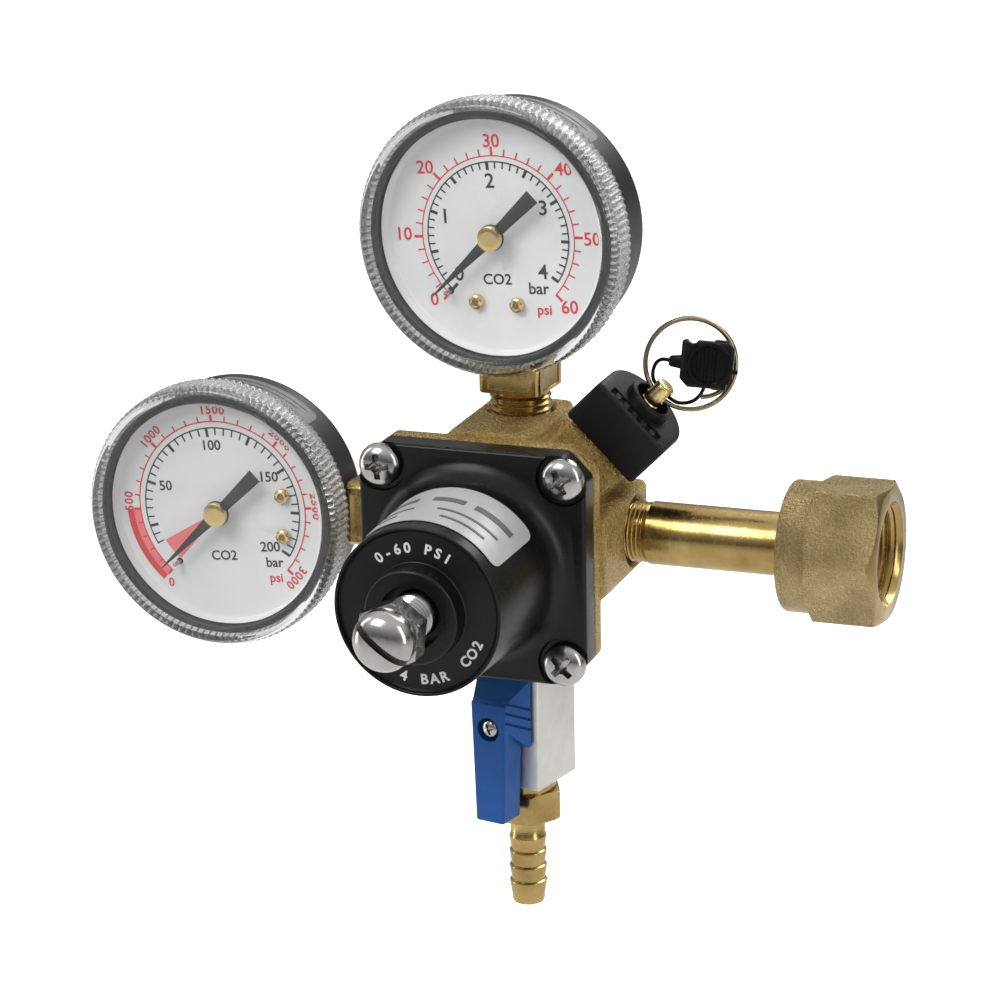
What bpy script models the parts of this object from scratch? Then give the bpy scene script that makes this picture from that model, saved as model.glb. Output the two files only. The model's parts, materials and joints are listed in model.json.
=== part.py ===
"""Two-gauge carbon dioxide regulator for a draught or brewing cylinder.

Frame: +X runs along the inlet nipple towards the cylinder valve, +Y to the back of the regulator,
+Z up. The origin is the centre of the nipple's sealing end. Lengths below are in millimetres and
are turned into metres where a mesh or a place is made.
"""
import math

import bmesh
import bpy
from mathutils import Matrix, Vector

# ---- driving dimensions, millimetres ---------------------------------------------------------
MM = 0.001
GAP = 0.3
BODY_X = -74.0            # bonnet and port axis, measured from the nipple's sealing end
BOSS_REACH = 26.0         # port axis to the flat end of each threaded boss
BOSS_HALF = 9.3
FLANGE_HALF = 25.2
FLANGE_FRONT = -32.2      # front face of the bonnet flange
BONNET_JOINT = -25.9      # back face of the bonnet flange
BODY_FLANGE_FRONT = BONNET_JOINT + GAP
BODY_FLANGE_BACK = -21.6
SCREW_HALF = 20.3
TOWER_RIM = 32.8          # rim of the spring tower, ahead of the flange front
NPT_RADIUS = 6.6          # quarter inch taper thread, crest radius
NPT_SOCKET = 6.95
GAUGE_REACH = 66.5        # port axis to the centre of each gauge
CASE_RADIUS = 27.4
LENS_RADIUS = 29.9
NUT_FLATS = 28.575        # 1 1/8 inch hexagon
NUT_BACK = 60.6 + BODY_X
NUT_FACE = 82.4 + BODY_X
RELIEF_BOSS = 29.0        # relief seat height along its 45 degree axis
VALVE_HALF = 8.0
VALVE_TOP = -28.0
VALVE_BOTTOM = -59.4
VALVE_CENTRE = -43.6
VALVE_TURN = -12.0        # the shut-off valve is screwed up facing a little to the left
OUTLET_GAUGE_TURN = -3.3

FRONT = Matrix.Rotation(math.radians(90), 4, "X")      # a turned piece's +Z becomes -Y
RIGHT = Matrix.Rotation(math.radians(90), 4, "Y")      # a turned piece's +Z becomes +X
DIAGONAL = Matrix.Rotation(math.radians(45), 4, "Y")   # a turned piece's +Z becomes up and right

# ---- scene and collections -------------------------------------------------------------------
for old in list(bpy.data.objects):
    bpy.data.objects.remove(old, do_unlink=True)

PARTS = bpy.data.collections.new("co2_regulator")
CUTTERS = bpy.data.collections.new("cutters")
for group in (PARTS, CUTTERS):
    bpy.context.scene.collection.children.link(group)


def make_material(name, colour, roughness, metallic):
    made = bpy.data.materials.new(name)
    made.use_nodes = True
    shader = made.node_tree.nodes["Principled BSDF"]
    shader.inputs["Base Color"].default_value = (*colour, 1.0)
    shader.inputs["Roughness"].default_value = roughness
    shader.inputs["Metallic"].default_value = metallic
    return made


BRASS = ((0.72, 0.53, 0.22), 0.35, 1.0)
CAST_BRASS = ((0.62, 0.46, 0.20), 0.55, 1.0)
STEEL = ((0.70, 0.69, 0.67), 0.25, 1.0)
NICKEL = ((0.75, 0.73, 0.69), 0.35, 1.0)
BLACK = ((0.02, 0.02, 0.02), 0.45, 0.0)
RUBBER = ((0.03, 0.03, 0.03), 0.80, 0.0)
CLEAR = ((0.85, 0.88, 0.88), 0.10, 0.0)
WHITE = ((0.88, 0.88, 0.86), 0.50, 0.0)
BLUE = ((0.02, 0.11, 0.38), 0.40, 0.0)
NYLON = ((0.82, 0.80, 0.74), 0.50, 0.0)
BRONZE = ((0.52, 0.42, 0.28), 0.30, 1.0)


# ---- helpers ---------------------------------------------------------------------------------
def shift(x=0.0, y=0.0, z=0.0):
    """A move in millimetres."""
    return Matrix.Translation(Vector((x, y, z)) * MM)


def turn(degrees, axis):
    return Matrix.Rotation(math.radians(degrees), 4, axis)


BODY = shift(BODY_X)


def place(name, mesh, look, matrix):
    """Link a part, or a cutter when look is None."""
    obj = bpy.data.objects.new(name, mesh)
    if look is None:
        CUTTERS.objects.link(obj)
        obj.hide_render = True
        obj.display_type = "WIRE"
    else:
        PARTS.objects.link(obj)
        mesh.materials.append(make_material(name + "_material", *look))
    obj.matrix_world = matrix
    return obj


def soften(mesh, angle=35.0):
    mesh.shade_smooth()
    mesh.set_sharp_from_angle(angle=math.radians(angle))


def lathe(name, profile, look, matrix, steps=32, closed=False):
    """Turn a profile of (radius, height) about the piece's own Z axis."""
    mesh = bpy.data.meshes.new(name)
    points = [(r * MM, 0.0, z * MM) for r, z in profile]
    edges = [(i, i + 1) for i in range(len(points) - 1)]
    if closed:
        edges.append((len(points) - 1, 0))
    mesh.from_pydata(points, edges, [])
    obj = place(name, mesh, look, matrix)
    spin = obj.modifiers.new("turned", "SCREW")
    spin.axis = "Z"
    spin.steps = steps
    spin.render_steps = steps
    spin.use_merge_vertices = True
    spin.merge_threshold = 0.00001
    spin.use_smooth_shade = True
    return obj


def ring(name, inner, outer, top, bottom, look, matrix, steps=32):
    profile = [(inner, top), (outer, top), (outer, bottom), (inner, bottom)]
    return lathe(name, profile, look, matrix, steps, closed=True)


def rod(name, radius, top, bottom, look, matrix, steps=20, chamfer=0.0):
    profile = [(0, top), (radius - chamfer, top)]
    if chamfer:
        profile.append((radius, top - chamfer))
    profile += [(radius, bottom), (0, bottom)]
    return lathe(name, profile, look, matrix, steps)


def block(name, low, high, look, matrix, bevel=0.0, segments=2, upright=False):
    """A box between two corners. upright bevels only its edges along Z."""
    work = bmesh.new()
    bmesh.ops.create_cube(work, size=1.0)
    size = [(b - a) * MM for a, b in zip(low, high)]
    centre = [(a + b) / 2 * MM for a, b in zip(low, high)]
    bmesh.ops.scale(work, vec=size, verts=work.verts)
    bmesh.ops.translate(work, vec=centre, verts=work.verts)
    if bevel:
        edges = [e for e in work.edges
                 if not upright or abs((e.verts[0].co - e.verts[1].co).normalized().z) > 0.9]
        bmesh.ops.bevel(work, geom=edges, offset=bevel * MM, segments=segments, profile=0.5,
                        affect="EDGES", clamp_overlap=True)
    mesh = bpy.data.meshes.new(name)
    work.to_mesh(mesh)
    work.free()
    soften(mesh)
    return place(name, mesh, look, matrix)


def frustum(name, low, high, look, matrix, bevel=0.0):
    """A block whose bottom and top are unlike rectangles: each is (x0, y0, x1, y1, z)."""
    work = bmesh.new()
    rows = []
    for x0, y0, x1, y1, z in (low, high):
        corners = ((x0, y0), (x1, y0), (x1, y1), (x0, y1))
        rows.append([work.verts.new((x * MM, y * MM, z * MM)) for x, y in corners])
    work.faces.new(reversed(rows[0]))
    work.faces.new(rows[1])
    for i in range(4):
        j = (i + 1) % 4
        work.faces.new((rows[0][i], rows[0][j], rows[1][j], rows[1][i]))
    if bevel:
        bmesh.ops.bevel(work, geom=work.edges[:], offset=bevel * MM, segments=2, profile=0.5,
                        affect="EDGES", clamp_overlap=True)
    mesh = bpy.data.meshes.new(name)
    work.to_mesh(mesh)
    work.free()
    soften(mesh)
    return place(name, mesh, look, matrix)


def as_mesh(curve_object, look):
    """Turn a curve object into a welded mesh part of the same name."""
    name = curve_object.name
    bpy.context.view_layer.update()
    graph = bpy.context.evaluated_depsgraph_get()
    mesh = bpy.data.meshes.new_from_object(curve_object.evaluated_get(graph))
    work = bmesh.new()
    work.from_mesh(mesh)
    bmesh.ops.remove_doubles(work, verts=work.verts, dist=0.000002)
    work.to_mesh(mesh)
    work.free()
    matrix = curve_object.matrix_world.copy()
    bpy.data.objects.remove(curve_object, do_unlink=True)
    mesh.materials.clear()
    soften(mesh)
    made = place(name, mesh, look, matrix)
    made.name = name
    return made


def new_curve(name, matrix):
    data = bpy.data.curves.new(name, "CURVE")
    obj = bpy.data.objects.new(name, data)
    CUTTERS.objects.link(obj)
    obj.matrix_world = matrix
    return obj, data


def add_spline(data, points, cyclic):
    spline = data.splines.new("POLY")
    spline.points.add(len(points) - 1)
    for point, place_mm in zip(spline.points, points):
        x, y, z = place_mm
        point.co = (x * MM, y * MM, z * MM, 1.0)
    spline.use_cyclic_u = cyclic


def plate(name, outline, thickness, look, matrix):
    """A flat outline in the piece's own XY plane, from z = 0 up to its thickness."""
    obj, data = new_curve(name, matrix @ shift(z=thickness / 2))
    data.dimensions = "2D"
    data.fill_mode = "BOTH"
    data.extrude = thickness / 2 * MM
    add_spline(data, [(x, y, 0.0) for x, y in outline], True)
    return as_mesh(obj, look)


def wire(name, points, radius, look, matrix, sides=2):
    obj, data = new_curve(name, matrix)
    data.dimensions = "3D"
    data.bevel_depth = radius * MM
    data.bevel_resolution = sides
    data.use_fill_caps = True
    add_spline(data, points, False)
    return as_mesh(obj, look)


def combine(target, operation, *others):
    for other in others:
        step = target.modifiers.new(operation.lower(), "BOOLEAN")
        step.operation = operation
        step.object = other


def cut(target, *others):
    combine(target, "DIFFERENCE", *others)


def join(target, *others):
    combine(target, "UNION", *others)


def circle(radius, count, start=0.0):
    angles = [start + 2 * math.pi * i / count for i in range(count)]
    return [(radius * math.cos(a), radius * math.sin(a)) for a in angles]


def rounded(points, radius, steps=4):
    """Round the corners of a convex outline with arcs of one radius."""
    out = []
    count = len(points)
    for i, corner in enumerate(points):
        here = Vector(corner)
        before = (Vector(points[i - 1]) - here).normalized()
        after = (Vector(points[(i + 1) % count]) - here).normalized()
        half = before.angle(after) / 2
        centre = here + (before + after).normalized() * radius / math.sin(half)
        first = here + before * radius / math.tan(half) - centre
        last = here + after * radius / math.tan(half) - centre
        sweep = first.angle_signed(last)
        for k in range(steps + 1):
            arm = first.copy()
            arm.rotate(Matrix.Rotation(-sweep * k / steps, 2))
            out.append(tuple(centre + arm))
    return out


def chamfered_square(half, cut_off):
    inner = half - cut_off
    return [(half, -inner), (half, inner), (inner, half), (-inner, half),
            (-half, inner), (-half, -inner), (-inner, -half), (inner, -half)]


def helix(radius, bottom, top, turns, per_turn=10):
    """A compression spring's wire, with its last half turn at each end closed flat."""
    points = []
    count = int(turns * per_turn)
    for i in range(count + 1):
        t = i / count
        angle = 2 * math.pi * turns * t
        flat = 0.5 / turns
        rise = min(max((t - flat) / (1 - 2 * flat), 0.0), 1.0)
        points.append((radius * math.cos(angle), radius * math.sin(angle),
                       bottom + (top - bottom) * rise))
    return points


def hexagon(flats, start=0.0):
    return circle(flats / math.sqrt(3), 6, start)


# ---- body ------------------------------------------------------------------------------------
def relief_frame(height=0.0):
    return BODY @ DIAGONAL @ shift(z=height)


def make_body():
    outline = rounded(chamfered_square(FLANGE_HALF, 5.0), 2.0, 2)
    facing = BODY @ shift(y=BODY_FLANGE_BACK) @ FRONT
    body = plate("regulator_body", outline, BODY_FLANGE_BACK - BODY_FLANGE_FRONT, CAST_BRASS, facing)
    core = rod("body_core", 21.0, 22.5, -11.0, None, BODY @ FRONT, 28)
    join(body, core)
    front = BODY_FLANGE_BACK - 1.0
    for index in range(4):
        boss = block(f"body_boss_{index}", (-BOSS_HALF, front, 5.0), (BOSS_HALF, 9.5, BOSS_REACH),
                     None, BODY @ turn(90 * index, "Y"), 1.6)
        join(body, boss)
    relief = frustum("body_relief_boss", (-8.2, front, 8.2, 8.5, 5.0),
                     (-8.2, -9.0, 8.2, 8.5, RELIEF_BOSS), None, relief_frame(), 1.0)
    join(body, relief)
    chambers = lathe("body_chambers", [
        (0, 27.0), (18.9, 27.0), (18.9, 24.1), (15.0, 24.1), (15.0, 19.5), (6.3, 19.5),
        (6.3, -6.0), (0, -6.0)], None, BODY @ FRONT, 28)
    cut(body, chambers)
    for index, (floor, bore, reach) in enumerate(((15.0, 2.5, 10.0), (14.0, 3.2, 3.0),
                                                  (15.0, 2.5, 10.0), (14.0, 2.0, 3.0))):
        port = lathe(f"body_port_{index}", [
            (0, 30.0), (NPT_SOCKET, 30.0), (NPT_SOCKET, floor), (bore, floor), (bore, reach),
            (0, reach)], None, BODY @ turn(90 * index, "Y"), 18)
        cut(body, port)
    relief_port = lathe("body_relief_port", [
        (0, 34.0), (6.2, 34.0), (6.2, 16.0), (2.4, 16.0), (2.4, 11.0), (0, 11.0)],
        None, relief_frame(), 18)
    cut(body, relief_port)
    for index, (angle, radius) in enumerate(((0, 12.2), (45, 12.4), (180, 12.2))):
        feed = rod(f"body_feed_{index}", 1.8, 21.0, 0.0, None,
                   BODY @ turn(angle, "Y") @ shift(z=radius) @ FRONT @ turn(10, "Z"), 8)
        cut(body, feed)
    for index, (sx, sz) in enumerate(((-1, 1), (1, 1), (1, -1), (-1, -1))):
        hole = rod(f"body_screw_hole_{index}", 2.65, 28.0, 21.0, None,
                   BODY @ shift(sx * SCREW_HALF, 0, sz * SCREW_HALF) @ FRONT, 10)
        cut(body, hole)


def make_bonnet():
    outline = rounded(chamfered_square(FLANGE_HALF, 5.0), 2.0, 2)
    bonnet = plate("bonnet", outline, BONNET_JOINT - FLANGE_FRONT, BLACK,
                   BODY @ shift(y=BONNET_JOINT) @ FRONT)
    facing = BODY @ shift(y=FLANGE_FRONT) @ FRONT
    tower = lathe("bonnet_tower", [
        (0, 36.8), (9.5, 36.8), (10.2, 36.1), (10.2, 31.8), (17.2, 31.8), (17.4, TOWER_RIM),
        (18.1, TOWER_RIM), (18.3, 32.4), (19.0, 7.0), (20.0, 3.2), (22.4, 0.9), (24.9, -0.3),
        (24.9, -3.0), (0, -3.0)], None, facing, 32)
    join(bonnet, tower)
    chamber = lathe("bonnet_chamber", [
        (0, 38.0), (6.6, 38.0), (6.6, 33.4), (5.1, 33.4), (5.1, 26.5), (13.6, 26.5), (14.4, 25.7),
        (14.4, -8.0), (0, -8.0)], None, facing, 28)
    cut(bonnet, chamber)
    for index, (sx, sz) in enumerate(((-1, 1), (1, 1), (1, -1), (-1, -1))):
        place_hole = facing @ shift(sx * SCREW_HALF, sz * SCREW_HALF, 0)
        hole = lathe(f"bonnet_screw_hole_{index}", [
            (0, 4.0), (5.8, 4.0), (5.8, -0.9), (2.75, -0.9), (2.75, -9.0), (0, -9.0)],
            None, place_hole, 14)
        cut(bonnet, hole)


def make_bonnet_screws():
    twists = (0.0, 25.0, 45.0, 70.0)
    spots = ((-1, 1), (1, 1), (1, -1), (-1, -1))
    for index, ((sx, sz), twist) in enumerate(zip(spots, twists)):
        matrix = (BODY @ shift(sx * SCREW_HALF, FLANGE_FRONT, sz * SCREW_HALF) @ FRONT
                  @ turn(twist, "Z"))
        screw = lathe(f"bonnet_screw_{index + 1}", [
            (0, 2.5), (1.9, 2.4), (3.6, 1.8), (4.6, 0.7), (4.7, -0.6),
            (2.3, -0.6), (2.3, -10.2), (0, -10.2)], STEEL, matrix, 12)
        for arm, half in enumerate(((2.2, 0.55), (0.55, 2.2))):
            slot = frustum(f"bonnet_screw_slot_{index}_{arm}",
                           (-half[0] * 0.45, -half[1] * 0.45, half[0] * 0.45, half[1] * 0.45, 0.4),
                           (-half[0], -half[1], half[0], half[1], 3.2), None, matrix)
            cut(screw, slot)


def make_diaphragm_stack():
    facing = BODY @ FRONT
    lathe("diaphragm", [
        (0, 25.5), (12.2, 25.5), (13.2, 24.9), (14.2, 25.5), (18.5, 25.5), (18.5, 24.4),
        (14.5, 24.4), (13.2, 23.7), (11.9, 24.4), (0, 24.4)], RUBBER, facing, 24)
    lathe("diaphragm_plate", [
        (0, 29.6), (5.6, 29.6), (6.4, 28.8), (6.4, 27.3), (11.4, 27.3), (11.4, 25.8), (0, 25.8)],
        STEEL, facing, 20)
    wire("main_spring", helix(9.2, 28.9, 51.6, 6.5, 10), 1.3, STEEL, facing, 1)
    lathe("spring_button", [
        (0, 56.4), (11.0, 56.4), (11.8, 55.6), (11.8, 53.5), (6.6, 53.5), (6.0, 50.6), (0, 50.6)],
        STEEL, facing, 20)


def make_adjusting_screw():
    """Slotted dome over a hexagon over a threaded shank. Its end bears on the spring button."""
    facing = BODY @ FRONT
    hexagon_back, hexagon_front = 77.4, 80.9
    screw = plate("adjusting_screw", hexagon(12.7, math.radians(23)), hexagon_front - hexagon_back,
                  STEEL, facing @ shift(z=hexagon_back))
    dome_base = hexagon_front + 1.9
    dome = [(6.3 * math.cos(a), dome_base + 4.6 * math.sin(a))
            for a in [math.radians(90 - 18 * k) for k in range(6)]]
    dome[0] = (0, dome_base + 4.6)
    profile = dome + [(6.3, hexagon_front - 0.6), (5.6, hexagon_front - 0.6)]
    profile += [(5.6, hexagon_back - 0.3), (4.75, hexagon_back - 0.3), (4.75, 57.6), (3.8, 56.7),
                (0, 56.7)]
    join(screw, lathe("adjusting_screw_turned", profile, None, facing, 20))
    slot = block("adjusting_screw_slot", (-0.95, -9.0, dome_base + 0.4), (0.95, 9.0, 92.0), None,
                 facing @ turn(-50, "Z"))
    cut(screw, slot)


def make_valve_train():
    facing = BODY @ FRONT
    lathe("seat_nozzle", [
        (1.9, 20.6), (5.4, 20.6), (6.0, 20.0), (6.0, 8.6), (3.0, 8.6), (2.6, 8.0), (1.9, 8.0)],
        BRASS, facing, 16, closed=True)
    lathe("poppet", [
        (0, 23.4), (1.1, 23.4), (1.1, 7.7), (4.2, 7.7), (4.2, 2.2), (1.7, 2.2),
        (1.7, -1.5), (0, -1.5)], STEEL, facing, 16)
    wire("poppet_spring", helix(2.9, -5.2, 1.4, 4.5, 8), 0.4, STEEL, facing, 1)


# ---- inlet -----------------------------------------------------------------------------------
def make_inlet():
    along = RIGHT
    start = BODY_X + 14.6
    boss = BODY_X + BOSS_REACH
    profile = [(3.0, 0.0), (6.6, 0.0), (7.2, -0.6), (7.2, -3.2), (9.4, -3.2), (9.4, -6.7),
               (6.86, -6.7), (6.86, boss + 6.0)]
    profile += [(6.3, boss + 5.4), (NPT_RADIUS, boss), (NPT_RADIUS - 0.5, start), (3.0, start)]
    lathe("inlet_nipple", profile, BRASS, along, 24, closed=True)
    rod("inlet_filter", 2.7, -0.8, -6.5, BRONZE, along, 16)
    ring("inlet_washer", 3.4, 9.6, 2.3, GAP, NYLON, along, 24)

    depth = NUT_FACE - NUT_BACK
    hex_start = 6.0
    nut = plate("coupling_nut", hexagon(NUT_FLATS, math.radians(26.0)), depth - hex_start, CAST_BRASS,
                shift(NUT_BACK + hex_start) @ RIGHT)
    collar = lathe("nut_collar", [
        (0, hex_start + 2.0), (14.2, hex_start + 2.0), (14.2, 0.8), (13.6, 0.0), (0, 0.0)],
        None, shift(NUT_BACK) @ RIGHT, 28)
    join(nut, collar)
    crest = NUT_FLATS / math.sqrt(3)
    rim = lathe("nut_face_chamfer", [
        (14.0, depth + 2.0), (24.0, depth + 2.0), (24.0, depth - 6.0), (crest + 3.4, depth - 3.3),
        (14.0, depth)], None, shift(NUT_BACK) @ RIGHT, 30, closed=True)
    back = lathe("nut_back_chamfer", [
        (14.3, hex_start + 0.2), (crest + 2.0, hex_start + 2.4), (24.0, hex_start - 2.0),
        (14.3, hex_start - 2.0)], None, shift(NUT_BACK) @ RIGHT, 30, closed=True)
    bore = lathe("nut_bore", [
        (0, depth + 1.0), (11.2, depth + 1.0), (10.9, depth - 0.2), (10.1, depth - 1.1), (10.1, 6.6),
        (7.25, 6.6), (7.25, -1.0), (0, -1.0)], None, shift(NUT_BACK) @ RIGHT, 24)
    cut(nut, rim, back, bore)


# ---- relief valve ----------------------------------------------------------------------------
def cap_outline(half, back_radius):
    """Flat at the front, round at the back: the piece's +Y is the regulator's back."""
    points = [(half, -half), (half, 0.0)]
    points += [(back_radius * math.cos(a), back_radius * math.sin(a))
               for a in [math.radians(15 * k) for k in range(1, 12)]]
    return points + [(-half, 0.0), (-half, -half)]


def make_relief_valve():
    axis = relief_frame()
    lathe("relief_valve_body", [
        (4.6, 37.4), (8.0, 37.4), (8.3, 37.0), (8.3, 29.6), (5.9, 29.3), (5.9, 16.6), (1.6, 16.6),
        (1.6, 22.0), (4.6, 22.0)], BRASS, axis, 18, closed=True)
    ring("relief_retainer", 2.55, 4.3, 37.0, 35.0, BRASS, axis, 16)
    rod("relief_seal_disc", 3.9, 23.3, 22.3, RUBBER, axis, 16)
    cap = plate("relief_cap", cap_outline(10.1, 10.1), 11.0, RUBBER, axis @ shift(z=RELIEF_BOSS + GAP))
    lip = lathe("relief_cap_lip", [
        (0, 42.4), (5.1, 42.4), (5.4, 42.1), (5.4, 39.5), (0, 39.5)], None, axis, 20)
    hollow = lathe("relief_cap_hollow", [
        (0, 43.0), (4.3, 43.0), (4.3, 39.6), (2.7, 39.6), (2.7, 37.8), (8.7, 37.8), (8.7, 28.0),
        (0, 28.0)], None, axis, 20)
    join(cap, lip)
    cut(cap, hollow)
    pin = lathe("relief_pin", [
        (0, 46.9), (1.7, 46.9), (2.2, 46.4), (2.2, 25.4), (4.1, 25.4), (4.1, 23.6), (0, 23.6)],
        BRASS, axis, 16)
    slot = [(0.95 * math.cos(a), 43.9 + 0.95 * math.sin(a))
            for a in [math.radians(180 + 36 * k) for k in range(6)]]
    slot += [(0.95 * math.cos(a), 45.15 + 0.95 * math.sin(a))
             for a in [math.radians(36 * k) for k in range(6)]]
    hole = plate("relief_pin_slot", slot, 8.0, None,
                 axis @ turn(90, "Z") @ shift(y=4.0) @ FRONT)
    cut(pin, hole)
    wire("relief_spring", helix(3.4, 26.1, 34.2, 5.0, 8), 0.45, STEEL, axis, 1)


def ring_frame():
    """Frame of the pull ring: origin in the pin's slot, +X along the slot, +Y towards the centre
    of the ring, +Z its normal, on the regulator's front side."""
    lean = math.radians(17.0)
    slot_axis = Vector((1, 0, -1)).normalized()
    pin_axis = Vector((1, 0, 1)).normalized()
    out = pin_axis * math.cos(lean) + Vector((0, 1, 0)) * math.sin(lean)
    normal = slot_axis.cross(out)
    origin = Vector((BODY_X, 0, 0)) + pin_axis * 43.8
    matrix = Matrix((slot_axis, out, normal)).transposed().to_4x4()
    matrix.translation = origin * MM
    return matrix


def make_pull_ring():
    """A split ring of a little over one and a half turns, threaded through the pin's slot."""
    radius = 9.7
    pin_at = 271.5
    total = 568.0
    points = []
    count = 50
    for i in range(count + 1):
        run = total * i / count
        angle = math.radians(270.0 - (run - pin_at))
        tail = max(run - 470.0, 0.0) / (total - 470.0)
        reach = radius - 2.3 * tail * tail
        points.append((reach * math.cos(angle), radius + reach * math.sin(angle),
                       -1.35 * (run - pin_at) / 360.0))
    wire("split_ring", points, 0.55, BRONZE, ring_frame(), 1)


def make_tamper_seal():
    """A moulded seal: a flat housing with a round recess, and a thin strap through the slot."""
    base = ring_frame()
    housing = base @ shift(2.6, 12.6, 4.6) @ turn(42, "Z")
    seal = block("tamper_seal", (-5.6, -5.0, -1.9), (5.6, 5.0, 1.9), BLACK, housing, 0.8, 1)
    swing = base @ shift(0, 1.3, 0)
    seal.data.transform(swing.inverted() @ housing)
    seal.matrix_world = swing
    dish = rod("seal_dish", 4.1, 3.0, 1.0, None, housing @ shift(0.6, 0, 0), 16)
    notch = rod("seal_notch", 1.2, 3.0, -3.0, None, housing @ shift(-3.4, 5.4, 0), 10)
    bulb = block("seal_bulb", (-7.6, -1.5, -1.3), (-5.0, 1.7, 1.3), None, housing, 0.6, 1)
    join(seal, bulb)
    cut(seal, dish, notch)
    slot_height = 1.45
    route = [(-5.2, 9.2, 4.5), (-5.6, 8.0, 4.3), (-5.7, 6.4, 3.6), (-5.2, 4.4, 2.4), (-4.1, 2.6, 1.0),
             (-2.8, slot_height + 0.1, 0.25), (-1.4, slot_height - 0.1, -0.1),
             (0.0, slot_height - 0.15, -0.1), (1.4, slot_height - 0.1, -0.1),
             (2.8, slot_height + 0.1, 0.25), (4.4, 2.3, 1.2), (5.7, 3.9, 2.6), (6.3, 5.6, 3.7),
             (6.2, 7.4, 4.5), (5.6, 9.0, 4.6)]
    strap = wire("seal_strap", route, 0.42, None, base, 1)
    join(seal, strap)


# ---- gauges ----------------------------------------------------------------------------------
PINION_TEETH = 12
SECTOR_TEETH = 72
PINION_RADIUS = 1.8
SECTOR_RADIUS = PINION_RADIUS * SECTOR_TEETH / PINION_TEETH
MOVEMENT_DROP = PINION_RADIUS + SECTOR_RADIUS
DIAL_FACE = 11.2
POINTER_ZERO = 225.0


def tooth(pitch_radius, teeth, angle):
    """Four points of one gear tooth centred on an angle in degrees."""
    half_pitch = math.pi / teeth
    points = []
    for share, radius in ((-0.56, pitch_radius - 0.42), (-0.26, pitch_radius + 0.28),
                          (0.26, pitch_radius + 0.28), (0.56, pitch_radius - 0.42)):
        a = math.radians(angle) + share * half_pitch
        points.append((radius * math.cos(a), radius * math.sin(a)))
    return points


def gear_outlines():
    pinion = []
    for k in range(PINION_TEETH):
        pinion += tooth(PINION_RADIUS, PINION_TEETH, 360.0 / PINION_TEETH * (k + 0.5) - 90.0)
    sector = []
    pitch = 360.0 / SECTOR_TEETH
    for k in range(-11, 3):
        sector += tooth(SECTOR_RADIUS, SECTOR_TEETH, 90.0 + pitch * k)
    hub = [(1.9 * math.cos(a), 1.9 * math.sin(a))
           for a in [math.radians(150 + 30 * k) for k in range(8)]]
    return pinion, sector + hub


def pointer_outline():
    """Slim from the hub to the tip, and a broad balanced tail."""
    boss = [(2.9 * math.cos(a), 2.9 * math.sin(a))
            for a in [math.radians(20 + 20 * k) for k in range(7)]]
    lower = [(x, -y) for x, y in reversed(boss)]
    return ([(20.0, 0.12), (12.0, 0.62)] + boss
            + [(-3.6, 1.25), (-12.2, 1.75), (-13.6, 1.3), (-13.6, -1.3), (-12.2, -1.75), (-3.6, -1.25)]
            + lower + [(12.0, -0.62), (20.0, -0.12)])


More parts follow.
